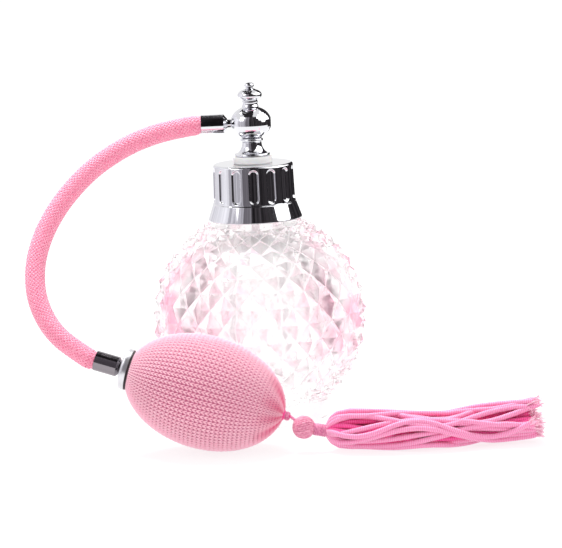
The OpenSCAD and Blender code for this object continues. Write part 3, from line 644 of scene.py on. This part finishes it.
def make_bottle():
    """The cut ball, with a foot and a neck joined to it and its hollow taken out."""
    seed = mesh_object("seed", [(0, 0, 0)], [])
    body = grown(cut_glass_tree(), "cut_body", seed)
    for material in (CUT_EDGE, BLOWN):
        body.data.materials.append(material)
    # The valleys between the pyramids are broad and round, the ridges up to the tips are nearly sharp.
    shape = bmesh.new()
    shape.from_mesh(body.data)
    weight = shape.edges.layers.float.new("bevel_weight_edge")
    for edge in shape.edges:
        edge[weight] = RIDGE_SHARE if edge.is_convex else 1.0
    shape.to_mesh(body.data)
    shape.free()
    edges = body.modifiers.new("edges", "BEVEL")
    edges.width, edges.segments, edges.limit_method = EDGE_ROUND * MM, 1, "WEIGHT"
    edges.material = 1
    body = as_mesh(body, "cut_body")
    heel, root, lip = 0.9, 0.6, 0.5
    foot = [(0, 0), (FOOT_R - heel, 0)] + arc(FOOT_R - heel, heel, heel, -75, 0, 5) + \
        arc(FOOT_R - root, FOOT_H + root, root, 0, 90, 5) + [(0, FOOT_H + 2 * root)]
    neck = [(0, BODY_Z), (NECK_R, BODY_Z), (NECK_R, LIP_Z - lip)] + \
        arc(NECK_R - lip, LIP_Z - lip, lip, 20, 90, 4) + [(0, LIP_Z)]
    meet = math.sqrt(CAVITY_R**2 - NECK_BORE_R**2)
    rim = math.degrees(math.asin(meet / CAVITY_R))
    hollow = [(0, BODY_Z - CAVITY_R)] + arc(0, BODY_Z, CAVITY_R, -86, rim, 60) + \
        [(NECK_BORE_R, BODY_Z + meet + 2), (NECK_BORE_R, LIP_Z + 1), (0, LIP_Z + 1)]
    for kind, name, profile, inside in (("UNION", "foot", foot, 0), ("UNION", "neck", neck, 0),
                                        ("DIFFERENCE", "hollow", hollow, GLASS_INSIDE)):
        tool = mesh_object(name, *turned(profile, closed=False), smooth=True)
        for material in (CRYSTAL, CUT_EDGE, BLOWN):
            tool.data.materials.append(material)
        tool.data.polygons.foreach_set("material_index", [inside] * len(tool.data.polygons))
        step = body.modifiers.new(name, "BOOLEAN")
        step.operation, step.object, step.solver = kind, tool, "EXACT"
        body = as_mesh(body, "cut_body")
        bpy.data.objects.remove(tool)
    body.name = body.data.name = "cut_glass_bottle"
    # Clear glass lets the soft light through to the table and to the pieces inside it.
    body.visible_shadow = body.visible_diffuse = False
    settle(body, "bottle", ("glass_bottle",))


make_bottle()


# --- Collar and head: the metal is turned and cut afresh, with the soft edges of a polished casting

FLUTES, FLUTE_DEPTH, FLUTE_R, FLUTE_WALL = 14, 0.6, 1.8, 0.55


def make_collar():
    """The shell: a flared skirt, and a barrel with flat-bottomed flutes that have round ends."""
    barrel_z, top = SKIRT_Z + SKIRT_H, COLLAR_TOP
    flare, shoulder, taper = 2.15, 0.9, 0.29
    profile = [(15.3, SKIRT_Z), (16.15, SKIRT_Z)] + arc(16.1, SKIRT_Z + 0.3, 0.3, -60, 10, 4)
    profile += [(SKIRT_R - flare * t, SKIRT_Z + 0.35 + 6.15 * t) for t in np.linspace(0.03, 0.9, 16)]
    profile += [(BARREL_R + 0.215 * (1 - t) ** 2, barrel_z - 0.65 + 1.2 * t) for t in np.linspace(0, 1, 8)]
    profile += [(14.24 - taper * t, barrel_z + 0.55 + (12.35 - shoulder) * t)
                for t in np.linspace(0.02, 1, 80)]
    profile += arc(13.95 - shoulder, top - shoulder, shoulder, 4, 90, 12)
    profile += [(r, top) for r in (11.5, 9.0, 6.5, 4.3)]
    profile += [(4.3, top - 1.2), (12.6, top - 1.2), (12.7, barrel_z), (15.2, SKIRT_Z)]
    sides, pitch = FLUTES * 64, 2 * math.pi / FLUTES
    low, high = barrel_z + 1.7, top - 2.8
    points, faces = [], []
    for r, z in profile:
        outside = r > 13 and SKIRT_Z + 1 < z < top - 0.3
        past = max(low - z, z - high, 0.0)
        for j in range(sides):
            a = 2 * math.pi * j / sides
            across = ((a + math.pi / 2 + pitch / 2) % pitch - pitch / 2) * r
            fall = min(max((FLUTE_R - math.hypot(across, past)) / FLUTE_WALL, 0.0), 1.0)
            dent = FLUTE_DEPTH * fall * fall * (3 - 2 * fall) if outside else 0.0
            points.append(((r - dent) * math.cos(a), (r - dent) * math.sin(a), z))
    for i in range(len(profile)):
        k = (i + 1) % len(profile)
        for j in range(sides):
            n = (j + 1) % sides
            faces.append((i * sides + j, i * sides + n, k * sides + n, k * sides + j))
    place("fluted_collar", points, faces, "collar", CHROME, stands_for=("collar_shell",))


make_collar()


# --- Bulb

KNIT_COLUMNS, KNIT_ROWS, LEG_OFFSET = 72, 44, 0.175
# The net is gathered into pleats over the last stretch before its tail.
GATHER_START, GATHER_L, GATHER_DEPTH, PLEATS = 19.5, 8.0, 0.7, 9


def knit_tree():
    """Rows of V stitches round an egg-shaped bulb that lies along X. Each leg of a V is a bead of yarn."""
    tree, given = new_tree("knit", {
        "Leg": ("NodeSocketObject", None), "Half width": ("NodeSocketFloat", BULB_B * MM),
        "Columns": ("NodeSocketInt", KNIT_COLUMNS), "Rows": ("NodeSocketInt", KNIT_ROWS),
        "Lean": ("NodeSocketFloat", 0.4), "Gather": ("NodeSocketFloat", GATHER_DEPTH * MM),
        "Pleats": ("NodeSocketInt", PLEATS)})
    columns, rows = given["Columns"], given["Rows"]
    stitches = maths("MULTIPLY", columns, rows)
    spots = node(tree, "GeometryNodePoints", {"Count": maths("MULTIPLY", stitches, 2.0)})
    index = node(tree, "GeometryNodeInputIndex")
    leg = maths("FLOOR", maths("DIVIDE", index, stitches))
    stitch = maths("MODULO", index, stitches)
    row = maths("FLOOR", maths("DIVIDE", stitch, columns))
    column = maths("MODULO", stitch, columns)
    # Rows are evenly spaced along the egg's outline, which the curve holds.
    share = maths("DIVIDE", maths("ADD", row, 0.5), rows)
    outline = node(tree, "GeometryNodeSampleCurve", {"Curves": given["Geometry"], "Factor": share},
                   mode="FACTOR")
    spot = node(tree, "ShaderNodeSeparateXYZ", {0: outline.outputs["Position"]}).outputs
    way = outline.outputs["Tangent"]
    width = spot["Z"]
    sign = maths("SUBTRACT", maths("MULTIPLY", leg, 2.0), 1.0)
    spread = maths("DIVIDE", 2 * math.pi, columns)
    turn = maths("MULTIPLY", maths("ADD", column, maths("MULTIPLY", sign, LEG_OFFSET)), spread)
    tail = node(tree, "ShaderNodeMapRange", {
        "Value": spot["X"], "From Min": GATHER_START * MM,
        "From Max": (GATHER_START + GATHER_L) * MM}).outputs["Result"]
    pleat = maths("SINE", maths("ADD", maths("MULTIPLY", turn, given["Pleats"]),
                                maths("MULTIPLY", maths("SINE", maths("MULTIPLY", turn, 3.0)), 0.9)))
    tuck = maths("MULTIPLY", maths("MULTIPLY", maths("SUBTRACT", pleat, 1.0), tail), given["Gather"])
    radius = maths("ADD", width, tuck)
    c, s = maths("COSINE", turn), maths("SINE", turn)
    where = node(tree, "ShaderNodeCombineXYZ", {"X": spot["X"], "Y": maths("MULTIPLY", radius, s),
                                                "Z": maths("MULTIPLY", radius, c)})
    step = node(tree, "ShaderNodeSeparateXYZ", {0: way}).outputs
    along = node(tree, "ShaderNodeCombineXYZ", {"X": step["X"], "Y": maths("MULTIPLY", step["Z"], s),
                                                "Z": maths("MULTIPLY", step["Z"], c)})
    outward = node(tree, "ShaderNodeCombineXYZ", {"X": maths("MULTIPLY", step["Z"], -1.0),
                                                  "Y": maths("MULTIPLY", step["X"], s),
                                                  "Z": maths("MULTIPLY", step["X"], c)})
    placed = node(tree, "GeometryNodeSetPosition", {"Geometry": spots, "Position": where})
    facing = node(tree, "FunctionNodeAxesToRotation", {0: outward, 1: along},
                  primary_axis="Z", secondary_axis="X")
    # Where the net narrows towards its ends, the stitches crowd together and stand straighter.
    crowd = maths("MINIMUM", maths("DIVIDE", width, given["Half width"]), 1.0)
    angle = maths("MULTIPLY", maths("MULTIPLY", sign, given["Lean"]), crowd)
    spin = node(tree, "FunctionNodeAxisAngleToRotation", {"Axis": (0, 0, 1), "Angle": angle})
    turned_leg = node(tree, "FunctionNodeRotateRotation", {0: facing, 1: spin}, rotation_space="LOCAL")
    slim = maths("ADD", maths("MULTIPLY", crowd, 0.8), 0.2)
    size = node(tree, "ShaderNodeCombineXYZ",
                {"X": 1.0, "Y": slim, "Z": maths("ADD", maths("MULTIPLY", crowd, 0.5), 0.5)})
    bead = node(tree, "GeometryNodeObjectInfo", {"Object": given["Leg"]})
    beads = node(tree, "GeometryNodeInstanceOnPoints",
                 {"Points": placed, "Instance": bead.outputs["Geometry"],
                  "Rotation": turned_leg, "Scale": size})
    # The net's pink darkens towards the tail where it is pulled together, and most in the folds of the
    # pleats, which is painted shade.
    dense_and_fold_shade = maths("MULTIPLY", tail, maths("SUBTRACT", 0.75, maths("MULTIPLY", pleat, 0.5)))
    kept = node(tree, "GeometryNodeStoreNamedAttribute", {
        "Geometry": beads, "Name": "gather", "Value": dense_and_fold_shade}, data_type="FLOAT", domain="INSTANCE")
    return close_tree(tree, kept, KNIT)


def bulb_frame():
    """The matrix from a frame with X along the bulb's axis and Z to its upper side, to the row frame."""
    middle, x, z = on_bulb(0), on_bulb(1) - on_bulb(0), on_bulb(0, 1) - on_bulb(0)
    y = np.cross(z, x)
    return Matrix([[x[i], y[i], z[i], middle[i] * MM] for i in range(3)] + [[0, 0, 0, 1]])


def egg_outline(inset, start, end, steps):
    """Points (along, radius) of the egg's outline between two stations."""
    a, b = BULB_A - inset, BULB_B - inset
    turns = np.linspace(math.asin(max(-1, start / a)), math.asin(min(1, end / a)), steps)
    return [(a * math.sin(t), b * math.cos(t)) for t in turns]


def make_knit():
    """The knitted cover, and the stretched rubber that shows between its stitches."""
    line = egg_outline(0.35, COLLAR_S + 0.2, 27.45, 160)
    leg = grain("leg", 1.75, 0.54, 0.28)
    made = grown(knit_tree(), "knitted_cover", lines_of([[(x, 0, r) for x, r in line]]), {"Leg": leg})
    bpy.data.objects.remove(leg)
    made.data.transform(bulb_frame())
    settle(made, "sprayer", ("knit_cover", "rubber_bulb"))
    profile = egg_outline(0.6, COLLAR_S - 0.1, 27.1, 90)
    outline = [(5.9, profile[0][0])] + [(r, x) for x, r in profile] + [(0, 27.15)]
    points, faces = turned(outline, 96, closed=False)
    under = np.array([(z, y, -x) for x, y, z in points])
    for i, (x, y, z) in enumerate(under):
        tail = min(1.0, max(0.0, (x - GATHER_START) / GATHER_L))
        t = math.atan2(y, z)
        tuck = GATHER_DEPTH * tail * (math.sin(PLEATS * t + 0.9 * math.sin(3 * t)) - 1)
        r = math.hypot(y, z)
        under[i, 1:] *= (r + tuck) / r if r > 1.5 else 1
    matrix = np.array(bulb_frame())
    # The rubber's darker pink is partly painted shade in the net's holes.
    place("bulb_under_knit", (under * MM @ matrix[:3, :3].T + matrix[:3, 3]) / MM, faces, "sprayer",
          KNIT_CORE)


make_knit()


# --- Threads and the tassel

TAIL_S = BULB_A - 0.2
LINK = on_bulb(TAIL_S + 2.5)
KNOT_R, BIND_R, BIND_L = 3.8, 2.1, 7.6
KNOT = np.array([LINK[0] + 3.95, LINK[1] - 3.6, 8.4])
DIP = math.radians(12)
BIND_WAY = np.array([math.cos(DIP), 0, -math.sin(DIP)])
CORD_COUNT, CORD_R = 46, 0.93
GOLDEN_TURN = 2.39996   # radians between one cord and the next, which spreads them evenly over the bundle


def thread_tree():
    """Every spline becomes a round cord that knows the way along it and the way round it, for its twist."""
    tree, given = new_tree("thread", {
        "Radius": ("NodeSocketFloat", 0.0003), "Sides": ("NodeSocketInt", 6),
                                      "Material": ("NodeSocketMaterial", None)})
    share = node(tree, "GeometryNodeInputRadius")
    radius = maths("MULTIPLY", share, given["Radius"])
    along = node(tree, "GeometryNodeSplineParameter").outputs["Length"]
    kept = node(tree, "GeometryNodeStoreNamedAttribute",
                {"Geometry": given["Geometry"], "Name": "along", "Value": along},
                data_type="FLOAT", domain="POINT")
    ring = node(tree, "GeometryNodeCurvePrimitiveCircle", {"Resolution": given["Sides"], "Radius": 1.0})
    here = node(tree, "GeometryNodeInputPosition")
    around = node(tree, "GeometryNodeStoreNamedAttribute",
                  {"Geometry": ring.outputs["Curve"], "Name": "around", "Value": here},
                  data_type="FLOAT_VECTOR", domain="POINT")
    cord = node(tree, "GeometryNodeCurveToMesh",
                {"Curve": kept, "Profile Curve": around,
                 "Scale": radius, "Fill Caps": True})
    return close_tree(tree, cord, given["Material"])


THREADS = thread_tree()


def spun(name, paths, radius, body, material, stands_for=(), sides=6):
    """A piece made of round cords along paths."""
    made = grown(THREADS, name, lines_of(paths),
                 {"Radius": radius * MM, "Sides": sides, "Material": material})
    return settle(made, body, stands_for)


def frame_along(way):
    """A way as a unit vector, and two directions square to it."""
    way = np.asarray(way) / np.linalg.norm(way)
    side = np.cross(way, (0, 0, 1))
    side /= np.linalg.norm(side)
    return way, side, np.cross(side, way)


def make_gather_tie():
    """Four turns of thread bind the net's tail, over the pinched yarn."""
    middle, way = on_bulb(TAIL_S + 1.1), on_bulb(1) - on_bulb(0)
    way, side, up = frame_along(way)
    path = []
    for t in np.linspace(0, 4, 90):
        a = 2 * math.pi * t
        r = 1.32 - 0.12 * abs(t - 2)
        path.append(middle + way * (t - 2) * 0.36 + r * (side * math.cos(a) + up * math.sin(a)))
    core = [middle + way * d for d in (-1.6, -0.6, 0.4, 1.2)]
    spun("gather_winding", [path], 0.3, "sprayer", THREAD, ("gather_tie",))
    # The pinched tail takes the cord's copy with painted hot-pink shade.
    spun("gathered_tail", [[tuple(p) + (r,) for p, r in zip(core, (2.0, 1.1, 0.9, 0.5))]], 1.1, "sprayer",
         INNER_CORD_PAINTED_SHADE,
         sides=16)


def make_link():
    """Two plies twisted together, from the bulb's tail to the tassel's knot."""
    way, side, up = frame_along(KNOT - LINK)
    length = np.linalg.norm(KNOT - LINK)
    plies = []
    for ply in (0, 1):
        path = []
        for t in np.linspace(-1.4, length - 3.1, 40):
            a = 2 * math.pi * t / 1.9 + math.pi * ply
            path.append(LINK + way * t + 0.27 * (side * math.cos(a) + up * math.sin(a)))
        plies.append(path)
    spun("twisted_link", plies, 0.3, "tassel_link", CORD, ("tassel_loop",))


def make_knot():
    """A ball of thread wound from end to end, and a neck of thread wound round the cords behind it."""
    way, side, up = frame_along(BIND_WAY)
    ball_r = KNOT_R - 0.3
    winding = []
    for k in range(28):
        turn = 2 * math.pi * k / 28
        path = []
        for t in np.linspace(-1.42, 1.42, 17):
            a = turn + 0.5 * t
            r = (ball_r + 0.1 * (k % 2)) * math.cos(t)
            path.append(KNOT + way * ball_r * math.sin(t) + r * (side * math.cos(a) + up * math.sin(a)))
        winding.append(path)
    spun("wound_knot", winding, 0.34, "tassel", WOUND, ("tassel_knot",), sides=5)
    core_r = KNOT_R - 0.45
    points, faces = turned([(0, -core_r)] + arc(0, 0, core_r, -80, 80, 16) + [(0, core_r)], 32, closed=False)
    place("knot_core", np.array(points) + KNOT, faces, "tassel", THREAD)
    neck = []
    for t in np.linspace(0, 1, 260):
        a = 2 * math.pi * t * 7.5
        s = 3.3 + (BIND_L - 3.2) * t
        neck.append(KNOT + way * s + (BIND_R - 0.28) * (side * math.cos(a) + up * math.sin(a)))
    spun("wound_neck", [neck], 0.33, "tassel", THREAD, ("tassel_binding",))
    spun("neck_core", [[KNOT + way * s for s in (3.0, 5.0, BIND_L)]], BIND_R - 0.45, "tassel", THREAD,
         sides=16)


def strand(number, count, rng):
    """One cord of the skirt: its place in the bundle wanders as it goes, so the cords cross each other."""
    share = math.sqrt((number + 0.4) / count)
    turn = number * GOLDEN_TURN
    phase, sway, drift = rng.uniform(0, 2 * math.pi), rng.uniform(0.25, 0.75), rng.uniform(-0.9, 0.9)
    pace, bow = rng.uniform(0.8, 1.5), rng.uniform(0.0, 0.14)
    reach = rng.uniform(66.5, 70.5)
    neck_end = KNOT + BIND_L * BIND_WAY
    path = []
    for u in np.linspace(0, 1, 120):
        s = reach * u
        wide = np.interp(s, (0, 1.6, 4, 8, 16, 40, 71), (1.2, 3.9, 6.2, 7.3, 7.9, 8.0, 8.6))
        tall = np.interp(s, (0, 1.6, 4, 8, 16, 40, 71), (1.2, 3.9, 5.5, 6.2, 6.1, 5.6, 6.6))
        rise = np.interp(s, (0, 3, 8, 16, 40, 55, 71), (neck_end[2], 7.1, 7.2, 6.9, 6.0, 6.9, 8.6))
        a = turn + drift * u + sway * math.sin(2 * math.pi * pace * u + phase)
        out = min(share * (1 + bow * math.sin(2 * math.pi * 0.9 * u + 2 * phase) * u), 1.0)
        y, z = wide * out * math.cos(a), rise + tall * out * math.sin(a)
        radius = np.interp(s, (0, 2.5, reach - 1.5, reach), (0.62, 1.0, 1.0, 0.8))
        bow_out = 3.0 * math.sin(math.pi * min(s / 60.0, 1.0)) ** 2
        path.append((neck_end[0] + s, KNOT[1] + y - bow_out, max(z, 0.98), radius))
    return share, path


def make_skirt():
    """Forty-six cords, cut at the end, where each one frays into a brush of fine fibres."""
    rng = np.random.default_rng(11)
    strands = [strand(k, CORD_COUNT, rng) for k in range(CORD_COUNT)]
    outer, inner = ([path for share, path in strands if (share > 0.7) == side] for side in (True, False))
    spun("tassel_cords", outer, CORD_R, "tassel", CORD, ("tassel_skirt",), sides=9)
    # The inner cords take the copy with painted hot-pink shade.
    spun("tassel_inner_cords", inner, CORD_R, "tassel", INNER_CORD_PAINTED_SHADE, sides=9)
    fibres = []
    for share, path in strands:
        end = np.array(path[-1][:3])
        way, side, up = frame_along(end - np.array(path[-6][:3]))
        for k in range(20):
            a, r = rng.uniform(0, 2 * math.pi), 0.75 * math.sqrt(rng.uniform(0, 1))
            off = side * math.cos(a) + up * math.sin(a)
            long, splay = rng.uniform(1.0, 3.2), rng.uniform(0.1, 0.6)
            fibre = []
            for t in np.linspace(0, 1, 5):
                p = end + way * (long * t - 0.5) + off * (r + splay * long * t * t)
                fibre.append((p[0], p[1], max(p[2], 0.15), 1 - 0.6 * t))
            fibres.append(fibre)
    spun("frayed_ends", fibres, 0.13, "tassel", FRAY, sides=4)


make_gather_tie()
make_link()
make_knot()
make_skirt()


# --- Head: turned brass, plated bright

def make_head():
    """The bell-shaped base with its waist under the ball, and the beads of the finial above it."""
    foot = COLLAR_TOP + WASHER_T
    bell, neck, bell_h = 6.1, 3.4, 4.9
    face = BALL_HALF - 0.6
    neck_top = PORT_Z - face
    flare = [(bell - (bell - neck) * math.sin(t * math.pi / 2),
              foot + 0.9 + (bell_h - 0.9) * (1 - math.cos(t * math.pi / 2))) for t in np.linspace(0, 1, 26)]
    base = [(0, STEM_END), (3.5, STEM_END), (4.0, STEM_END + 0.5), (4.0, foot)] + \
        arc(bell - 0.35, foot + 0.35, 0.35, -90, 0, 6) + flare + \
        arc(neck - 0.1, (foot + bell_h + neck_top) / 2, (neck_top - foot - bell_h) / 2, -88, 88, 16) + \
        [(2.4, neck_top), (2.4, neck_top + 1.5), (0, neck_top + 1.5)]
    points, faces = turned(base, 96, closed=False)
    place("bell_shaped_base", points, faces, "sprayer", CHROME, stands_for=("head_base",))
    z = PORT_Z + face
    bead, knob = z + 4.3, z + 7.65
    top = [(0, z - 1), (2.9, z - 1), (2.9, z)] + arc(2.7 + 1.1, z + 1.3, 1.2, 220, 140, 14) + \
        [(4.25 * math.cos(t), bead + 2.3 * math.sin(t)) for t in np.linspace(-0.96, 0.96, 30)] + \
        [(1.15, bead + 2.35)] + \
        [(1.7 * math.cos(t), knob + 1.1 * math.sin(t))
         for t in np.linspace(-0.87, 1.5, 22)] + [(0, knob + 1.1)]
    points, faces = turned(top, 80, closed=False)
    place("beaded_finial", points, faces, "sprayer", CHROME, stands_for=("finial",))


make_head()


# --- Pieces that keep the shape they have in the part

def dress(material, *names):
    """Gives pieces of the part their finish."""
    for name in names:
        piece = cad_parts[name]
        piece.data.materials.clear()
        piece.data.materials.append(material)


dress(CHROME, "head_ball", "spray_nozzle", "hose_nipple", "upper_ferrule", "valve_housing", "retaining_nut")
dress(BLACK_NICKEL, "lower_ferrule")
dress(SATIN, "bulb_collar")
dress(BAND, "clamp_ring")
dress(WHITE, "neck_gasket", "collar_liner", "swivel_washer")
dress(TUBE, "dip_tube")
dress(BRASS, "siphon_tube", "air_jet", "valve_seat")
dress(STEEL, "valve_ball")
dress(DARK_RUBBER, "intake_flap")


# --- Light and table

def unseen_card(tree, surface):
    """Lets rays that have been through glass pass a card, so that only the polished metal mirrors it."""
    ray = node(tree, "ShaderNodeLightPath")
    clear = node(tree, "ShaderNodeBsdfTransparent")
    passed = maths("GREATER_THAN", ray.outputs["Transmission Depth"], 0.5)
    shown = node(tree, "ShaderNodeMixShader", {0: passed, 1: surface, 2: clear})
    out = next(n for n in tree.nodes if n.type == "OUTPUT_MATERIAL")
    tree.links.new(shown.outputs[0], out.inputs["Surface"])


def card_tone(tree, surface, dark, light):
    """Card whose tone drifts in upright bands, as a folded reflector's does."""
    at = node(tree, "ShaderNodeSeparateXYZ", {0: node(tree, "ShaderNodeTexCoord").outputs["Object"]}).outputs
    angle = maths("ARCTAN2", at["Y"], at["X"])
    band = node(tree, "ShaderNodeTexNoise", {"W": maths("MULTIPLY", angle, 7.0), "Scale": 1.0, "Detail": 2.0},
                noise_dimensions="1D")
    tone = node(tree, "ShaderNodeMapRange",
                {"Value": band, "From Min": 0.35, "From Max": 0.68})
    two_tone(tree, surface, tone, dark, light)
    unseen_card(tree, surface)


def paper_tone(tree, surface):
    """Smooth white paper: the slightest mottling."""
    where = node(tree, "ShaderNodeTexCoord").outputs["Object"]
    mottle = node(tree, "ShaderNodeTexNoise", {"Vector": where, "Scale": 40.0})
    two_tone(tree, surface, mottle, "#8A8A8A", "#909090")


def staged(name, points, faces, material):
    """A part of the stage, from points in metres."""
    made = mesh_object(name, points, faces, unit=1.0)
    made.data.materials.append(material)
    return made


def curved_card(name, reach, start, end, low, high, material):
    """Part of a cylinder round the bottle. Angles are degrees from the front; two heights make a slope."""
    points, faces = [], []
    tops = np.linspace(*high, 25) if isinstance(high, tuple) else [high] * 25
    for a, top in zip(np.radians(np.linspace(start, end, 25)), tops):
        points += [(reach * math.sin(a), -reach * math.cos(a), z) for z in (low, top)]
    for i in range(24):
        faces.append((2 * i, 2 * i + 2, 2 * i + 3, 2 * i + 1))
    card = staged(name, points, faces, material)
    card.visible_camera = card.visible_diffuse = card.visible_shadow = card.visible_transmission = False
    return card


def light_studio():
    """A lit table, soft light all round, and dark cards that only the polished metal mirrors."""
    world = bpy.data.worlds.new("studio")
    world.use_nodes = True
    world.node_tree.nodes["Background"].inputs["Color"].default_value = linear("#FFFFFF")
    world.node_tree.nodes["Background"].inputs["Strength"].default_value = 1.0
    bpy.context.scene.world = world
    bpy.context.scene.view_settings.view_transform = "Standard"

    def panel(name, spot, target, wide, tall, power):
        lamp = bpy.data.objects.new(name, bpy.data.lights.new(name, "AREA"))
        lamp.data.shape, lamp.data.size, lamp.data.size_y, lamp.data.energy = "RECTANGLE", wide, tall, power
        lamp.location = spot
        lamp.rotation_euler = (Vector(target) - Vector(spot)).to_track_quat("-Z", "Y").to_euler()
        bpy.context.scene.collection.objects.link(lamp)

    panel("top_light", (-0.15, 0.25, 0.8), (0, -0.02, 0.03), 0.45, 0.35, 9.0)

    # A lit acrylic table, so the shadows under the object stay faint.
    table = finish_of("lit_table",
                      {"Roughness": 0.9, "Specular IOR Level": 0.0, "Emission Color": linear("#FFFFFF"),
                       "Emission Strength": 0.78}, paper_tone)
    staged("table", [(-6, -6, 0), (6, -6, 0), (6, 6, 0), (-6, 6, 0)], [(0, 1, 2, 3)], table)
    black, dim, grey, pale = (
        finish_of(name, {"Roughness": 0.9, "Specular IOR Level": 0.0}, card_tone, *ends)
        for name, ends in (("black_card", ("#0E0C0E", "#3C393C")), ("dim_card", ("#4A474C", "#6E6B70")),
                           ("grey_card", ("#8E8C92", "#C2C0C6")), ("pale_card", ("#D2D1D6", "#F0EFF3"))))
    curved_card("card_front", 0.3, -10, 28, 0.0, 0.62, black)
    curved_card("card_right", 0.3, 28, 52, 0.0, (0.62, 0.24), black)
    curved_card("card_right_low", 0.3, 52, 68, 0.0, (0.24, 0.16), black)
    curved_card("card_far_right_low", 0.3, 68, 170, 0.0, 0.16, black)
    curved_card("card_far_right", 0.3, 128, 170, 0.16, 0.4, black)
    curved_card("card_dim", 0.31, -32, -10, 0.0, 0.62, dim)
    curved_card("card_grey", 0.32, -74, -32, 0.0, 0.3, grey)
    curved_card("card_left", 0.34, -150, -74, 0.0, 0.3, pale)
    over = staged("card_over", [(-0.3, -0.4, 0.6), (0.1, -0.4, 0.6), (0.1, 0.5, 0.6), (-0.3, 0.5, 0.6)],
                  [(0, 1, 2, 3)], black)
    over.visible_camera = over.visible_diffuse = over.visible_shadow = over.visible_transmission = False
    bright = finish_of("soft_box", {"Base Color": linear("#FFFFFF"), "Emission Color": linear("#FFFFFF"),
                                    "Emission Strength": 1.5}, unseen_card)
    curved_card("soft_box", 0.26, -72, -46, 0.2, 0.36, bright)
    curved_card("soft_box_right", 0.5, 30, 128, 0.1, 0.8, bright)

    # Two dark strips beside the glass draw its edges. Only rays that pass through the glass meet them.
    edge = finish_of("edge_card",
                     {"Base Color": linear("#2E262C"), "Roughness": 0.9, "Specular IOR Level": 0.0})
    for name, start, end in (("edge_left", -132, -96), ("edge_right", 96, 132)):
        strip = curved_card(name, 0.5, start, end, 0.02, 0.5, edge)
        strip.visible_transmission, strip.visible_glossy = True, False


light_studio()
